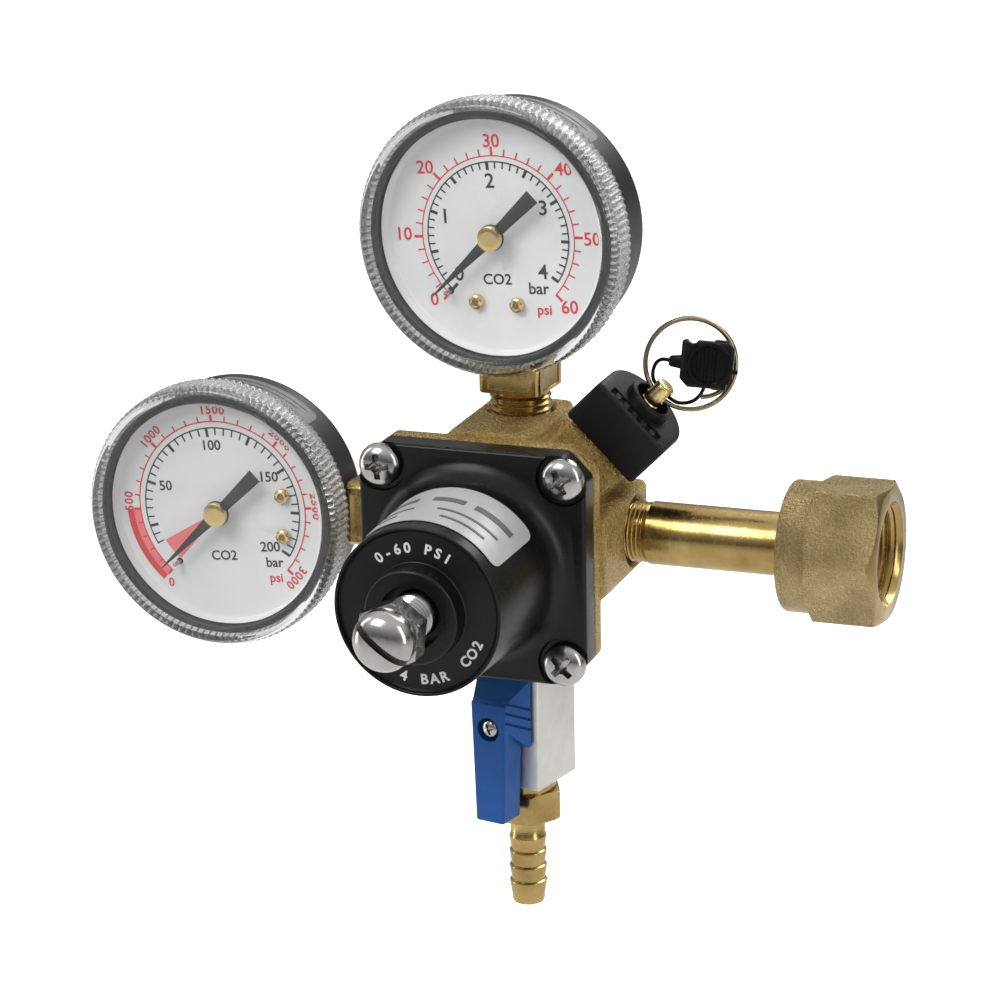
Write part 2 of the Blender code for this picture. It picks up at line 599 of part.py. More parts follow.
def make_gauge(prefix, centre, stem_turn):
    """One gauge. centre is its frame; stem_turn swings the stem and movement about its axis."""
    works = centre @ turn(stem_turn, "Y")
    facing = centre @ FRONT
    inside = works @ FRONT

    case = lathe(f"{prefix}_case", [
        (0, -4.6), (23.8, -4.6), (26.2, -2.4), (26.2, 16.2), (CASE_RADIUS, 16.2),
        (CASE_RADIUS, -2.6), (26.4, -4.8), (24.2, -5.8), (0, -5.8)], BLACK, facing, 32)
    cut(case, rod(f"{prefix}_case_hole", 4.9, -20.0, -32.0, None, works, 20))
    lathe(f"{prefix}_lens", [
        (0, 17.6), (26.9, 17.6), (27.2, 18.0), (28.4, 18.0), (LENS_RADIUS, 16.6), (LENS_RADIUS, 9.8),
        (29.4, 9.4), (27.75, 9.4), (27.75, 16.5), (0, 16.5)], CLEAR, facing, 32)
    dial = ring(f"{prefix}_dial", 1.3, 25.8, DIAL_FACE, DIAL_FACE - 0.6, WHITE, facing, 32)
    pin_angle = math.radians(POINTER_ZERO + 5.0)
    pin_x, pin_z = 17.0 * math.cos(pin_angle), 17.0 * math.sin(pin_angle)
    cut(dial, rod(f"{prefix}_dial_pin_hole", 0.8, 14.0, 9.0, None, facing @ shift(pin_x, pin_z), 8))
    rod(f"{prefix}_stop_pin", 0.45, 14.2, 10.0, STEEL, facing @ shift(pin_x, pin_z), 8)
    movement = block(f"{prefix}_movement_frame", (-6.4, -25.0, 8.2), (6.4, 3.4, 9.4), BRASS, inside)
    for index, side in enumerate((-1, 1)):
        spot = inside @ shift(side * 4.7, -14.8)
        cut(dial, rod(f"{prefix}_dial_hole_{index}", 1.2, 14.0, 9.9, None, spot, 10))
        cut(movement, rod(f"{prefix}_frame_hole_{index}", 1.15, 12.0, 7.0, None, spot, 10))
        lathe(f"{prefix}_dial_screw_{index + 1}", [
            (0, 12.7), (1.3, 12.5), (1.65, 11.5), (0.85, 11.5), (0.85, 7.9), (0, 7.9)],
            BRASS, spot, 10)
    cut(movement, rod(f"{prefix}_arbor_hole", 0.95, 12.0, 7.0, None, inside, 12))
    cut(movement, rod(f"{prefix}_sector_hole", 1.0, 12.0, 7.0, None,
                      inside @ shift(0, -MOVEMENT_DROP), 12))

    pinion, sector = gear_outlines()
    arbor = plate(f"{prefix}_pointer_arbor", pinion, 2.2, BRASS, inside @ shift(z=5.0))
    join(arbor, lathe(f"{prefix}_arbor_turned", [
        (0, 15.9), (1.7, 15.9), (2.3, 15.3), (2.3, 14.8), (0.6, 14.8), (0.6, 3.0), (0, 3.0)],
        None, inside, 12))
    gear = plate(f"{prefix}_sector_gear", sector, 1.4, BRASS,
                 inside @ shift(0, -MOVEMENT_DROP) @ shift(z=5.4))
    join(gear, rod(f"{prefix}_sector_arbor", 0.65, 9.0, 3.0, None,
                   inside @ shift(0, -MOVEMENT_DROP), 12))
    pointer = plate(f"{prefix}_pointer", pointer_outline(), 0.5, BLACK,
                    facing @ turn(POINTER_ZERO, "Z") @ shift(z=14.0))
    cut(pointer, rod(f"{prefix}_pointer_bore", 0.95, 16.0, 12.0, None, facing, 12))

    neck = GAUGE_REACH - BOSS_REACH
    wrench_end = -(neck - 4.2)
    stem = block(f"{prefix}_stem", (-7.1, -7.1, wrench_end), (7.1, 7.1, -27.8), BRASS, works, 0.9, 1,
                 True)
    thread = ([(0, -24.0), (4.6, -24.0), (4.6, -28.4), (6.3, -28.4), (6.3, wrench_end)]
              + [(6.3, wrench_end - 0.6), (6.7, wrench_end - 1.2), (6.7, -neck)]
              + [(6.4, -neck - 0.3), (6.1, -50.2), (0, -50.2)])
    join(stem, lathe(f"{prefix}_stem_turned", thread, None, works, 20))
    join(stem, block(f"{prefix}_stem_socket", (-4.5, -7.9, -24.4), (4.5, 3.0, -15.4), None, works))
    cut(stem, rod(f"{prefix}_stem_bore", 1.8, -20.0, -52.0, None, works, 12))
    tube, data = new_curve(f"{prefix}_bourdon_tube", inside)
    data.dimensions = "2D"
    data.fill_mode = "BOTH"
    data.extrude = 2.2 * MM
    data.bevel_depth = 0.8 * MM
    data.bevel_resolution = 1
    arc = [math.radians(-70.0 + 17.0 * k) for k in range(16)]
    inner = [(16.6 * math.cos(a), 16.6 * math.sin(a), 0.0) for a in reversed(arc)]
    outer = [(18.0 * math.cos(a), 18.0 * math.sin(a), 0.0) for a in arc]
    add_spline(data, outer + inner, True)
    as_mesh(tube, BRASS)


# ---- shut-off valve and hose barb ------------------------------------------------------------
def valve_frame():
    return BODY @ turn(VALVE_TURN, "Z") @ shift(z=VALVE_CENTRE)


def make_shutoff():
    centre = valve_frame()
    facing = centre @ FRONT
    low, high = VALVE_BOTTOM - VALVE_CENTRE, VALVE_TOP - VALVE_CENTRE
    body = block("shutoff_body", (-VALVE_HALF, -VALVE_HALF, low), (VALVE_HALF, VALVE_HALF, high),
                 NICKEL, centre, 0.5, 1)
    spigot = lathe("shutoff_spigot", [
        (0, 28.2), (6.1, 28.2), (6.5, 18.0), (6.8, 17.6), (6.8, high - 1.0), (0, high - 1.0)],
        None, centre, 24)
    join(body, spigot)
    waterway = lathe("shutoff_waterway", [
        (0, 30.0), (2.6, 30.0), (2.6, 6.8), (5.7, 6.8), (5.7, -30.0), (0, -30.0)], None, centre, 20)
    neck = rod("shutoff_neck", 2.7, 12.0, 3.0, None, facing, 16)
    well = rod("shutoff_well", 4.0, 12.0, 6.9, None, facing, 16)
    cut(body, waterway, neck, well)

    work = bmesh.new()
    bmesh.ops.create_uvsphere(work, u_segments=14, v_segments=9, radius=4.6 * MM)
    mesh = bpy.data.meshes.new("shutoff_ball")
    work.to_mesh(mesh)
    work.free()
    soften(mesh)
    ball = place("shutoff_ball", mesh, STEEL, centre)
    cut(ball, rod("ball_bore", 2.4, 8.0, -8.0, None, centre, 16))
    cut(ball, block("ball_slot", (-1.2, -6.0, -4.0), (1.2, -3.5, 4.0), None, centre))
    for name, side in (("ball_seat_upper", 1), ("ball_seat_lower", -1)):
        tilt = centre if side > 0 else centre @ turn(180, "X")
        lathe(name, [(2.9, 6.4), (5.4, 6.4), (5.4, 2.8), (4.05, 2.8), (3.45, 3.45), (2.9, 3.9)],
              NYLON, tilt, 16, closed=True)
    stem = lathe("shutoff_stem", [
        (0, 13.2), (2.4, 13.2), (2.4, 5.0), (0, 5.0)], STEEL, facing, 16)
    join(stem, block("stem_tang", (-0.8, -5.2, -1.7), (0.8, -3.9, 1.7), None, centre))
    cut(stem, rod("stem_tapping", 1.45, 15.0, 8.8, None, facing, 12))
    ring("stem_packing", 2.7, 3.7, 7.9, 7.2, NYLON, facing, 16)

    arm = frustum("shutoff_lever", (-3.9, -21.8, 3.9, 4.0, 8.7), (-3.4, -21.8, 3.4, 4.0, 15.9), BLUE,
                  facing, 0.7)
    hub = frustum("lever_hub", (-6.9, -6.2, 6.9, 10.6, 8.7), (-4.35, -2.5, 4.35, 6.2, 15.9), None,
                  facing, 0.6)
    toe = block("lever_toe", (-6.0, -26.0, 6.0), (6.0, -20.6, 12.0), None,
                facing @ shift(0, -21.8, 15.9) @ turn(16, "X") @ shift(0, 20.6 - 0.2, -20.0))
    join(arm, hub)
    cut(arm, toe)
    cut(arm, rod("lever_bore", 2.75, 13.5, 5.0, None, facing, 20))
    cut(arm, rod("lever_screw_hole", 1.5, 16.0, 12.0, None, facing, 12))
    cut(arm, rod("lever_counterbore", 2.75, 18.0, 14.3, None, facing, 20))
    screw = lathe("lever_screw", [
        (0, 15.9), (1.3, 15.7), (2.3, 14.6), (1.1, 14.6), (1.1, 9.4), (0, 9.4)],
        STEEL, facing, 12)
    for index, (x, y) in enumerate(((1.3, 0.3), (0.3, 1.3))):
        cut(screw, frustum(f"lever_screw_slot_{index}", (-x * 0.4, -y * 0.4, x * 0.4, y * 0.4, 14.9),
                           (-x, -y, x, y, 16.2), None, facing))


def make_hose_barb():
    axis = BODY @ turn(VALVE_TURN, "Z")
    hex_top, hex_bottom = -61.9, -68.7
    barb = plate("hose_barb", rounded(hexagon(14.0, math.radians(18)), 0.4, 1), hex_top - hex_bottom,
                 BRASS, axis @ shift(z=hex_bottom))
    profile = [(0, -54.4), (5.2, -54.4), (5.4, -54.8), (5.4, VALVE_BOTTOM - GAP),
               (6.5, VALVE_BOTTOM - GAP), (6.5, hex_top - 0.4), (5.4, hex_top - 0.4),
               (5.4, hex_bottom + 0.4), (3.9, hex_bottom + 0.4), (3.9, -73.0)]
    pitch = 3.6
    for index in range(4):
        crest = -73.5 - pitch * index
        profile += [(4.2, crest), (4.2, crest - 0.4), (3.75, crest - pitch + 0.35)]
    profile += [(3.4, -89.4), (0, -89.4)]
    join(barb, lathe("barb_turned", profile, None, axis, 18))
    cut(barb, rod("barb_bore", 2.6, -50.0, -95.0, None, axis, 16))


def outlet_gauge_frame():
    return BODY @ turn(OUTLET_GAUGE_TURN, "Z") @ shift(z=GAUGE_REACH)


def inlet_gauge_frame():
    return BODY @ shift(x=-GAUGE_REACH)


def main():
    make_body()
    make_bonnet()
    make_bonnet_screws()
    make_diaphragm_stack()
    make_adjusting_screw()
    make_valve_train()
    make_inlet()
    make_relief_valve()
    make_pull_ring()
    make_tamper_seal()
    make_gauge("outlet_gauge", outlet_gauge_frame(), 0.0)
    make_gauge("inlet_gauge", inlet_gauge_frame(), -90.0)
    make_shutoff()
    make_hose_barb()


main()
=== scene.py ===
"""Looks for a two-gauge carbon dioxide regulator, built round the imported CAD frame."""
import json
import math

import bmesh
import bpy
from mathutils import Matrix, Vector


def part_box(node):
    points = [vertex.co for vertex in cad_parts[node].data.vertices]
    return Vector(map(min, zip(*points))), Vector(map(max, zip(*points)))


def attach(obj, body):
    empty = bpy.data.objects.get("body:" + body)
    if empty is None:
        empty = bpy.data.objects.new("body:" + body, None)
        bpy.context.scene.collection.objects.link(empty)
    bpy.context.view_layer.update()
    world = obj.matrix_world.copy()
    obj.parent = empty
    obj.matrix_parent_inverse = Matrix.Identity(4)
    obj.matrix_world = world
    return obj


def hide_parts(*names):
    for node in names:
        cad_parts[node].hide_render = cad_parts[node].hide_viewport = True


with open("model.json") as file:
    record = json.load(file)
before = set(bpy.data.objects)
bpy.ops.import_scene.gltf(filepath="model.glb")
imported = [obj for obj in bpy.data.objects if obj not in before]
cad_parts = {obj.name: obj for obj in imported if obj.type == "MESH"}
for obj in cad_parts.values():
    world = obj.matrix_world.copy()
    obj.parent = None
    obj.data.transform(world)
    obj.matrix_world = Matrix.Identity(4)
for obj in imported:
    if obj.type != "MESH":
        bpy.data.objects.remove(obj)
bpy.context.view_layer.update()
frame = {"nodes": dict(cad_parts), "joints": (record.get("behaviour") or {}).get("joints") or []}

MM = 0.001
JOINTS = {j["name"]: j for j in frame["joints"]}


def joint_mm(name, axis):
    return JOINTS[name]["pos_m"]["xyz".index(axis)] / MM


# ---- the frame's own places, millimetres ----
BODY_X = joint_mm("adjusting_screw_turn", "x")
GAUGE_REACH = joint_mm("outlet_pointer_turn", "z")
VALVE_CENTRE = joint_mm("shutoff_lever_turn", "z")
BOSS_REACH = 26.0
BOSS_HALF = 9.3
FLANGE_HALF = (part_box("bonnet")[1].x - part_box("bonnet")[0].x) / 2 / MM
FLANGE_FRONT = -32.2
BONNET_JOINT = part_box("bonnet")[1].y / MM
BODY_FLANGE_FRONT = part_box("regulator_body")[0].y / MM
BODY_FLANGE_BACK = -21.6
SCREW_HALF = 20.3
CORNERS = ((-1, 1), (1, 1), (1, -1), (-1, -1))
NPT_SOCKET = 6.95
NUT_FLATS = 28.575
NUT_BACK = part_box("coupling_nut")[0].x / MM
NUT_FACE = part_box("coupling_nut")[1].x / MM
RELIEF_BOSS = 29.0
VALVE_TOP = -28.0
VALVE_BOTTOM = -59.4
VALVE_TURN = -12.0
OUTLET_TURN = -3.3
CASE_RADIUS = 27.4
DIAL_FACE = 11.2
POINTER_ZERO = 225.0
SCALE_SWEEP = 270.0
TICKS_PER_NUMBER = 5
FLOOR_HEIGHT = -240.0
CAMERA_PLACE = (BODY_X + 266.7, FLANGE_FRONT - 712.2, 248.6)

FRONT = Matrix.Rotation(math.radians(90), 4, "X")
RIGHT = Matrix.Rotation(math.radians(90), 4, "Y")
DIAGONAL = Matrix.Rotation(math.radians(45), 4, "Y")


def shift(x=0.0, y=0.0, z=0.0):
    return Matrix.Translation(Vector((x, y, z)) * MM)


def turn(degrees, axis):
    return Matrix.Rotation(math.radians(degrees), 4, axis)


BODY = shift(BODY_X)


# ---- materials ----
def node(tree, kind, **values):
    made = tree.nodes.new(kind)
    for key, value in values.items():
        if key in made.inputs:
            made.inputs[key].default_value = value
        else:
            setattr(made, key, value)
    return made


def grey(level):
    return (level, level, level)


def new_material(name):
    made = bpy.data.materials.new(name)
    made.use_nodes = True
    tree = made.node_tree
    return made, tree, tree.nodes["Principled BSDF"]


def noise(tree, coords, scale, detail=3.0, rough=0.55, stretch=None):
    """Noise in the piece's own space. stretch draws it out, as brushed or turned lines are."""
    source = coords.outputs["Object"]
    if stretch:
        mapping = node(tree, "ShaderNodeMapping")
        mapping.inputs["Scale"].default_value = stretch
        tree.links.new(source, mapping.inputs["Vector"])
        source = mapping.outputs["Vector"]
    made = node(tree, "ShaderNodeTexNoise", Scale=scale, Detail=detail, Roughness=rough)
    tree.links.new(source, made.inputs["Vector"])
    return made


def ramp(tree, source, low, high, start, end):
    """A colour or a grey that goes from low to high as the source goes from start to end."""
    made = node(tree, "ShaderNodeValToRGB")
    made.color_ramp.elements[0].position = start
    made.color_ramp.elements[1].position = end
    made.color_ramp.elements[0].color = (*low, 1.0)
    made.color_ramp.elements[1].color = (*high, 1.0)
    tree.links.new(source.outputs[0], made.inputs["Fac"])
    return made


def remap(tree, source, low, high, start=0.3, end=0.7):
    limits = {"From Min": start, "From Max": end, "To Min": low, "To Max": high}
    made = node(tree, "ShaderNodeMapRange", **limits)
    tree.links.new(source, made.inputs["Value"])
    return made


def bump(tree, source, depth_mm, under=None):
    made = node(tree, "ShaderNodeBump", Distance=depth_mm * MM)
    made.inputs["Strength"].default_value = 1.0
    tree.links.new(source.outputs[0], made.inputs["Height"])
    if under:
        tree.links.new(under.outputs["Normal"], made.inputs["Normal"])
    return made


def surface(name, dark, light, rough, metallic=0.0, grain=1500.0, depth=0.01, patch=120.0,
            lines=None, line_depth=0.004, **extra):
    """A finish: two tones in large patches, fine grain in the bump and roughness, and lines."""
    made, tree, shader = new_material(name)
    coords = node(tree, "ShaderNodeTexCoord")
    broad = noise(tree, coords, patch, 4.0, 0.6)
    tone = ramp(tree, broad, dark, light, 0.32, 0.68)
    tree.links.new(tone.outputs["Color"], shader.inputs["Base Color"])
    fine = noise(tree, coords, grain, 4.0, 0.65)
    gloss = remap(tree, fine.outputs[0], *rough)
    tree.links.new(gloss.outputs["Result"], shader.inputs["Roughness"])
    shape = bump(tree, fine, depth)
    if lines:
        marks = noise(tree, coords, lines[0], 2.0, 0.5, lines[1])
        shape = bump(tree, marks, line_depth, shape)
    tree.links.new(shape.outputs["Normal"], shader.inputs["Normal"])
    shader.inputs["Metallic"].default_value = metallic
    for key, value in extra.items():
        shader.inputs[key.replace("_", " ")].default_value = value
    return made


def ink(name, dark, light, rough=(0.40, 0.55), depth=0.002):
    return surface(name, dark, light, rough, 0.0, 1500.0, depth)


TURNED = (900.0, (0.05, 0.05, 4.0))        # fine rings about a turned piece's own Z
BRUSHED = (900.0, (4.0, 0.15, 0.15))

CAST_BRASS = surface("cast_brass", (0.36, 0.24, 0.075), (0.56, 0.40, 0.15), (0.22, 0.36), 1.0,
    1150.0, 1.3, 90.0)
NUT_BRASS = surface("nut_brass", (0.34, 0.25, 0.11), (0.56, 0.43, 0.21), (0.22, 0.34), 1.0,
    1500.0, 1.3, 90.0)
BRASS = surface("turned_brass", (0.30, 0.20, 0.065), (0.60, 0.44, 0.18), (0.16, 0.30), 1.0,
    900.0, 0.006, 60.0, TURNED, 0.012)
BRIGHT_BRASS = surface("bright_brass", (0.68, 0.50, 0.21), (0.82, 0.64, 0.31), (0.16, 0.28), 1.0,
    1200.0, 0.004, 80.0)
STEEL = surface("stainless", (0.36, 0.35, 0.33), (0.52, 0.50, 0.48), (0.13, 0.27), 1.0,
    900.0, 0.006, 70.0, TURNED, 0.006)
WIRE = surface("spring_wire", grey(0.50), grey(0.60), (0.22, 0.36), 1.0,
    1500.0, 0.005, 200.0)
NICKEL = surface("satin_nickel", (0.62, 0.60, 0.57), (0.76, 0.74, 0.71), (0.32, 0.48), 1.0,
    2600.0, 0.020, 60.0, BRUSHED, 0.010)
BLACK_COAT = surface("black_coating", grey(0.003), grey(0.006), (0.26, 0.36),
    0.0, 2200.0, 0.012, 80.0, Specular_IOR_Level=0.26)
CASE_ENAMEL = surface("case_enamel", (0.010, 0.011, 0.012), (0.016, 0.017, 0.018), (0.30, 0.44),
    0.0, 1500.0, 0.012, 60.0, Specular_IOR_Level=0.35)
RUBBER = surface("moulded_rubber", grey(0.003), grey(0.007), (0.40, 0.58),
    0.0, 2400.0, 0.030, 90.0, Specular_IOR_Level=0.25)
BLACK_PLASTIC = surface("black_plastic", grey(0.002), grey(0.005), (0.24, 0.40),
    0.0, 1800.0, 0.010, 120.0, Specular_IOR_Level=0.22)
NYLON = surface("nylon", (0.74, 0.72, 0.66), (0.84, 0.82, 0.76), (0.38, 0.52), 0.0, 900.0, 0.006)
BLUE = surface("blue_plastic", (0.003, 0.060, 0.25), (0.006, 0.085, 0.32), (0.32, 0.46), 0.0,
    2000.0, 0.016, 90.0, Specular_IOR_Level=0.28)
BRONZE = surface("bronze_wire", (0.30, 0.24, 0.17), (0.46, 0.38, 0.27), (0.18, 0.32), 1.0,
    1200.0, 0.006, 200.0)
SINTER = surface("sintered_bronze", (0.34, 0.22, 0.11), (0.50, 0.34, 0.18), (0.5, 0.7), 1.0,
    2200.0, 0.12, 300.0)
ENAMEL = surface("dial_enamel", grey(0.66), grey(0.72), (0.32, 0.42), 0.0,
    900.0, 0.003, 60.0)
INK_BLACK = ink("black_ink", grey(0.010), grey(0.020))
INK_RED = ink("red_ink", (0.60, 0.022, 0.030), (0.68, 0.035, 0.045))
INK_PINK = ink("light_red_ink", (0.78, 0.16, 0.16), (0.83, 0.20, 0.20))
INK_GREY = ink("grey_ink", grey(0.10), grey(0.14))
INK_WHITE = ink("white_ink", (0.62, 0.62, 0.60), (0.76, 0.76, 0.74), (0.35, 0.50), 0.006)
LABEL = surface("silver_label", (0.44, 0.45, 0.45), (0.54, 0.55, 0.55), (0.34, 0.46), 0.20,
    1500.0, 0.003, 60.0)
STICKER = surface("grey_sticker", (0.11, 0.115, 0.115), (0.15, 0.155, 0.155), (0.40, 0.54), 0.0,
    1500.0, 0.003, 60.0)
LENS = surface("clear_polycarbonate", (0.96, 0.97, 0.97), grey(0.99), (0.02, 0.05), 0.0,
    300.0, 0.0006, 40.0, Transmission_Weight=1.0, IOR=1.45)
LENS_SKIRT = surface("ribbed_polycarbonate", (0.52, 0.53, 0.53), (0.60, 0.61, 0.61), (0.20, 0.32),
    0.0, 900.0, 0.004, 60.0, Transmission_Weight=0.70, IOR=1.45)


# ---- shape helpers ----
def polar(radius, degrees):
    angle = math.radians(degrees)
    return radius * math.cos(angle), radius * math.sin(angle)


def finish_mesh(name, mesh, matrix, material, angle=32.0):
    mesh.shade_smooth()
    mesh.set_sharp_from_angle(angle=math.radians(angle))
    obj = bpy.data.objects.new(name, mesh)
    bpy.context.scene.collection.objects.link(obj)
    obj.matrix_world = matrix
    if material:
        mesh.materials.append(material)
    return obj


def from_bmesh(name, work, matrix, material, angle=32.0):
    bmesh.ops.recalc_face_normals(work, faces=work.faces)
    mesh = bpy.data.meshes.new(name)
    work.to_mesh(mesh)
    work.free()
    return finish_mesh(name, mesh, matrix, material, angle)


def turned(name, profile, matrix, material=None, steps=96, closed=False, ripple=None, angle=32.0):
    """Turn a profile of (radius, height) about local Z. ripple(index, angle) adds to a radius."""
    work = bmesh.new()
    rows = []
    for index, (radius, height) in enumerate(profile):
        if radius < 1e-6:
            rows.append([work.verts.new((0, 0, height * MM))])
            continue
        row = []
        for k in range(steps):
            a = 2 * math.pi * k / steps
            r = (radius + (ripple(index, a) if ripple else 0.0)) * MM
            row.append(work.verts.new((r * math.cos(a), r * math.sin(a), height * MM)))
        rows.append(row)
    pairs = list(zip(rows, rows[1:]))
    if closed:
        pairs.append((rows[-1], rows[0]))
    for upper, lower in pairs:
        for k in range(steps):
            n = (k + 1) % steps
            corners = [upper[k % len(upper)], lower[k % len(lower)], lower[n % len(lower)],
                       upper[n % len(upper)]]
            unique = list(dict.fromkeys(corners))
            if len(unique) > 2:
                work.faces.new(unique)
    return from_bmesh(name, work, matrix, material, angle)


def arc(cx, cy, radius, start, end, steps=6):
    """Points round a fillet in a profile, angles in degrees."""
    return [(cx + radius * math.cos(math.radians(start + (end - start) * k / steps)),
             cy + radius * math.sin(math.radians(start + (end - start) * k / steps)))
            for k in range(steps + 1)]


def ring(name, inner, outer, top, bottom, matrix, material=None, steps=96):
    profile = [(inner, top), (outer, top), (outer, bottom), (inner, bottom)]
    return turned(name, profile, matrix, material, steps, closed=True)


def rod(name, radius, top, bottom, matrix, material=None, steps=64, chamfer=0.0):
    profile = [(0, top), (radius - chamfer, top)]
    if chamfer:
        profile.append((radius, top - chamfer))
    return turned(name, profile + [(radius, bottom), (0, bottom)], matrix, material, steps)


def between(name, low, high, matrix, material, bevel, segments, over):
    """A solid between two outlines of (x, y, z), bevelled where its faces turn past over."""
    work = bmesh.new()
    rows = [[work.verts.new(Vector(point) * MM) for point in row] for row in (low, high)]
    work.faces.new(list(reversed(rows[0])))
    work.faces.new(rows[1])
    for i in range(len(low)):
        j = (i + 1) % len(low)
        work.faces.new((rows[0][i], rows[0][j], rows[1][j], rows[1][i]))
    bmesh.ops.recalc_face_normals(work, faces=work.faces)
    if bevel:
        sharp = [e for e in work.edges
                 if len(e.link_faces) == 2 and e.calc_face_angle(0) > math.radians(over)]
        bmesh.ops.bevel(work, geom=sharp, offset=bevel * MM, segments=segments, profile=0.5,
                        affect="EDGES", clamp_overlap=True)
    return from_bmesh(name, work, matrix, material)


def prism(name, outline, bottom, top, matrix, material=None, bevel=0.0, segments=3, over=25.0):
    """A flat outline raised along local Z."""
    low, high = ([(x, y, z) for x, y in outline] for z in (bottom, top))
    return between(name, low, high, matrix, material, bevel, segments, over)


def loft(name, low, high, matrix, material=None, bevel=0.0, segments=3):
    """A block between two rectangles, each (x0, y0, x1, y1, z)."""
    rows = [[(x0, y0, z), (x1, y0, z), (x1, y1, z), (x0, y1, z)]
            for x0, y0, x1, y1, z in (low, high)]
    return between(name, *rows, matrix, material, bevel, segments, 10.0)


def box(name, low, high, matrix, material=None, bevel=0.0, segments=3):
    return loft(name, (low[0], low[1], high[0], high[1], low[2]),
                (low[0], low[1], high[0], high[1], high[2]), matrix, material, bevel, segments)


def hexagon(flats, start):
    """A hexagon by its width across flats, its first corner at start degrees."""
    return [polar(flats / math.sqrt(3), start + 60 * i) for i in range(6)]


def rounded(points, radius, steps=8):
    out = []
    count = len(points)
    for i, corner in enumerate(points):
        here = Vector(corner)
        before = (Vector(points[i - 1]) - here).normalized()
        after = (Vector(points[(i + 1) % count]) - here).normalized()
        half = before.angle(after) / 2
        centre = here + (before + after).normalized() * radius / math.sin(half)
        first = here + before * radius / math.tan(half) - centre
        last = here + after * radius / math.tan(half) - centre
        sweep = first.angle_signed(last)
        for k in range(steps + 1):
            arm = first.copy()
            arm.rotate(Matrix.Rotation(-sweep * k / steps, 2))
            out.append(tuple(centre + arm))
    return out


def chamfered_square(half, cut_off):
    inner = half - cut_off
    return [(half, -inner), (half, inner), (inner, half), (-inner, half),
            (-half, inner), (-half, -inner), (-inner, -half), (inner, -half)]


def evaluated_mesh(obj):
    bpy.context.view_layer.update()
    graph = bpy.context.evaluated_depsgraph_get()
    return bpy.data.meshes.new_from_object(obj.evaluated_get(graph))


def curve_mesh(data):
    holder = bpy.data.objects.new(data.name + "_curve", data)
    bpy.context.scene.collection.objects.link(holder)
    mesh = evaluated_mesh(holder)
    bpy.data.objects.remove(holder, do_unlink=True)
    return mesh


def applied(obj, angle=32.0):
    """Bake a piece's modifiers into its mesh."""
    mesh = evaluated_mesh(obj)
    obj.modifiers.clear()
    obj.data = mesh
    mesh.shade_smooth()
    mesh.set_sharp_from_angle(angle=math.radians(angle))
    return obj


def combine(target, operation, others, angle=32.0):
    for other in others:
        step = target.modifiers.new("step", "BOOLEAN")
        step.operation = operation
        step.object = other
        applied(target, angle)
        bpy.data.objects.remove(other, do_unlink=True)
    return target


def cut(target, *others, angle=32.0):
    return combine(target, "DIFFERENCE", others, angle)


def join(target, *others, angle=32.0):
    return combine(target, "UNION", others, angle)


def melt(obj, voxel, rounds, angle=60.0):
    """Remesh a joined piece and relax it, so its inner and outer corners round off."""
    remesh = obj.modifiers.new("remesh", "REMESH")
    remesh.mode = "VOXEL"
    remesh.voxel_size = voxel * MM
    relax = obj.modifiers.new("relax", "SMOOTH")
    relax.factor = 0.5
    relax.iterations = rounds
    return applied(obj, angle)


def tube(name, points, radius, matrix, material=None, sides=4, cyclic=False, smooth=False):
    data = bpy.data.curves.new(name, "CURVE")
    data.dimensions = "3D"
    data.bevel_depth = radius * MM
    data.bevel_resolution = sides
    data.use_fill_caps = True
    spline = data.splines.new("POLY")
    spline.points.add(len(points) - 1)
    for point, (x, y, z) in zip(spline.points, points):
        point.co = (x * MM, y * MM, z * MM, 1.0)
    spline.use_cyclic_u = cyclic
    work = bmesh.new()
    work.from_mesh(curve_mesh(data))
    bmesh.ops.remove_doubles(work, verts=work.verts, dist=1e-6)
    return from_bmesh(name, work, matrix, material, 50.0)


def smooth_route(points, per=8):
    """Catmull-Rom points through a route."""
    out = []
    ends = [points[0]] + list(points) + [points[-1]]
    for i in range(1, len(ends) - 2):
        a, b, c, d = (Vector(ends[i + k]) for k in (-1, 0, 1, 2))
        for k in range(per):
            t = k / per
            out.append(0.5 * ((2 * b) + (c - a) * t + (2 * a - 5 * b + 4 * c - d) * t * t
                              + (3 * b - a - 3 * c + d) * t ** 3))
    out.append(Vector(points[-1]))
    return [tuple(p) for p in out]


def merged(name, pieces):
    """Several loose pieces made one object, in the first one's own space."""
    work = bmesh.new()
    first = pieces[0]
    home = first.matrix_world.inverted()
    materials = list(first.data.materials)
    for piece in pieces:
        mesh = piece.data.copy()
        mesh.transform(home @ piece.matrix_world)
        work.from_mesh(mesh)
    mesh = bpy.data.meshes.new(name)
    work.to_mesh(mesh)
    work.free()
    matrix = first.matrix_world.copy()
    for piece in pieces:
        bpy.data.objects.remove(piece, do_unlink=True)
    made = finish_mesh(name, mesh, matrix, None)
    for material in materials:
        mesh.materials.append(material)
    return made


def stand(obj, body, *nodes):
    """The piece rides on a body and stands for these CAD nodes."""
    bpy.context.view_layer.update()
    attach(obj, body)
    if nodes:
        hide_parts(*nodes)
    return obj


def ridges(top, bottom, crest, root, pitch):
    """Thread ridges down the outer side of a profile."""
    points = []
    count = max(1, int(round((top - bottom) / pitch)))
    step = (top - bottom) / count
    for i in range(count):
        z = top - i * step
        points += [(root, z - 0.06 * step), (crest, z - 0.44 * step), (crest, z - 0.56 * step),
                   (root, z - 0.94 * step)]
    return points


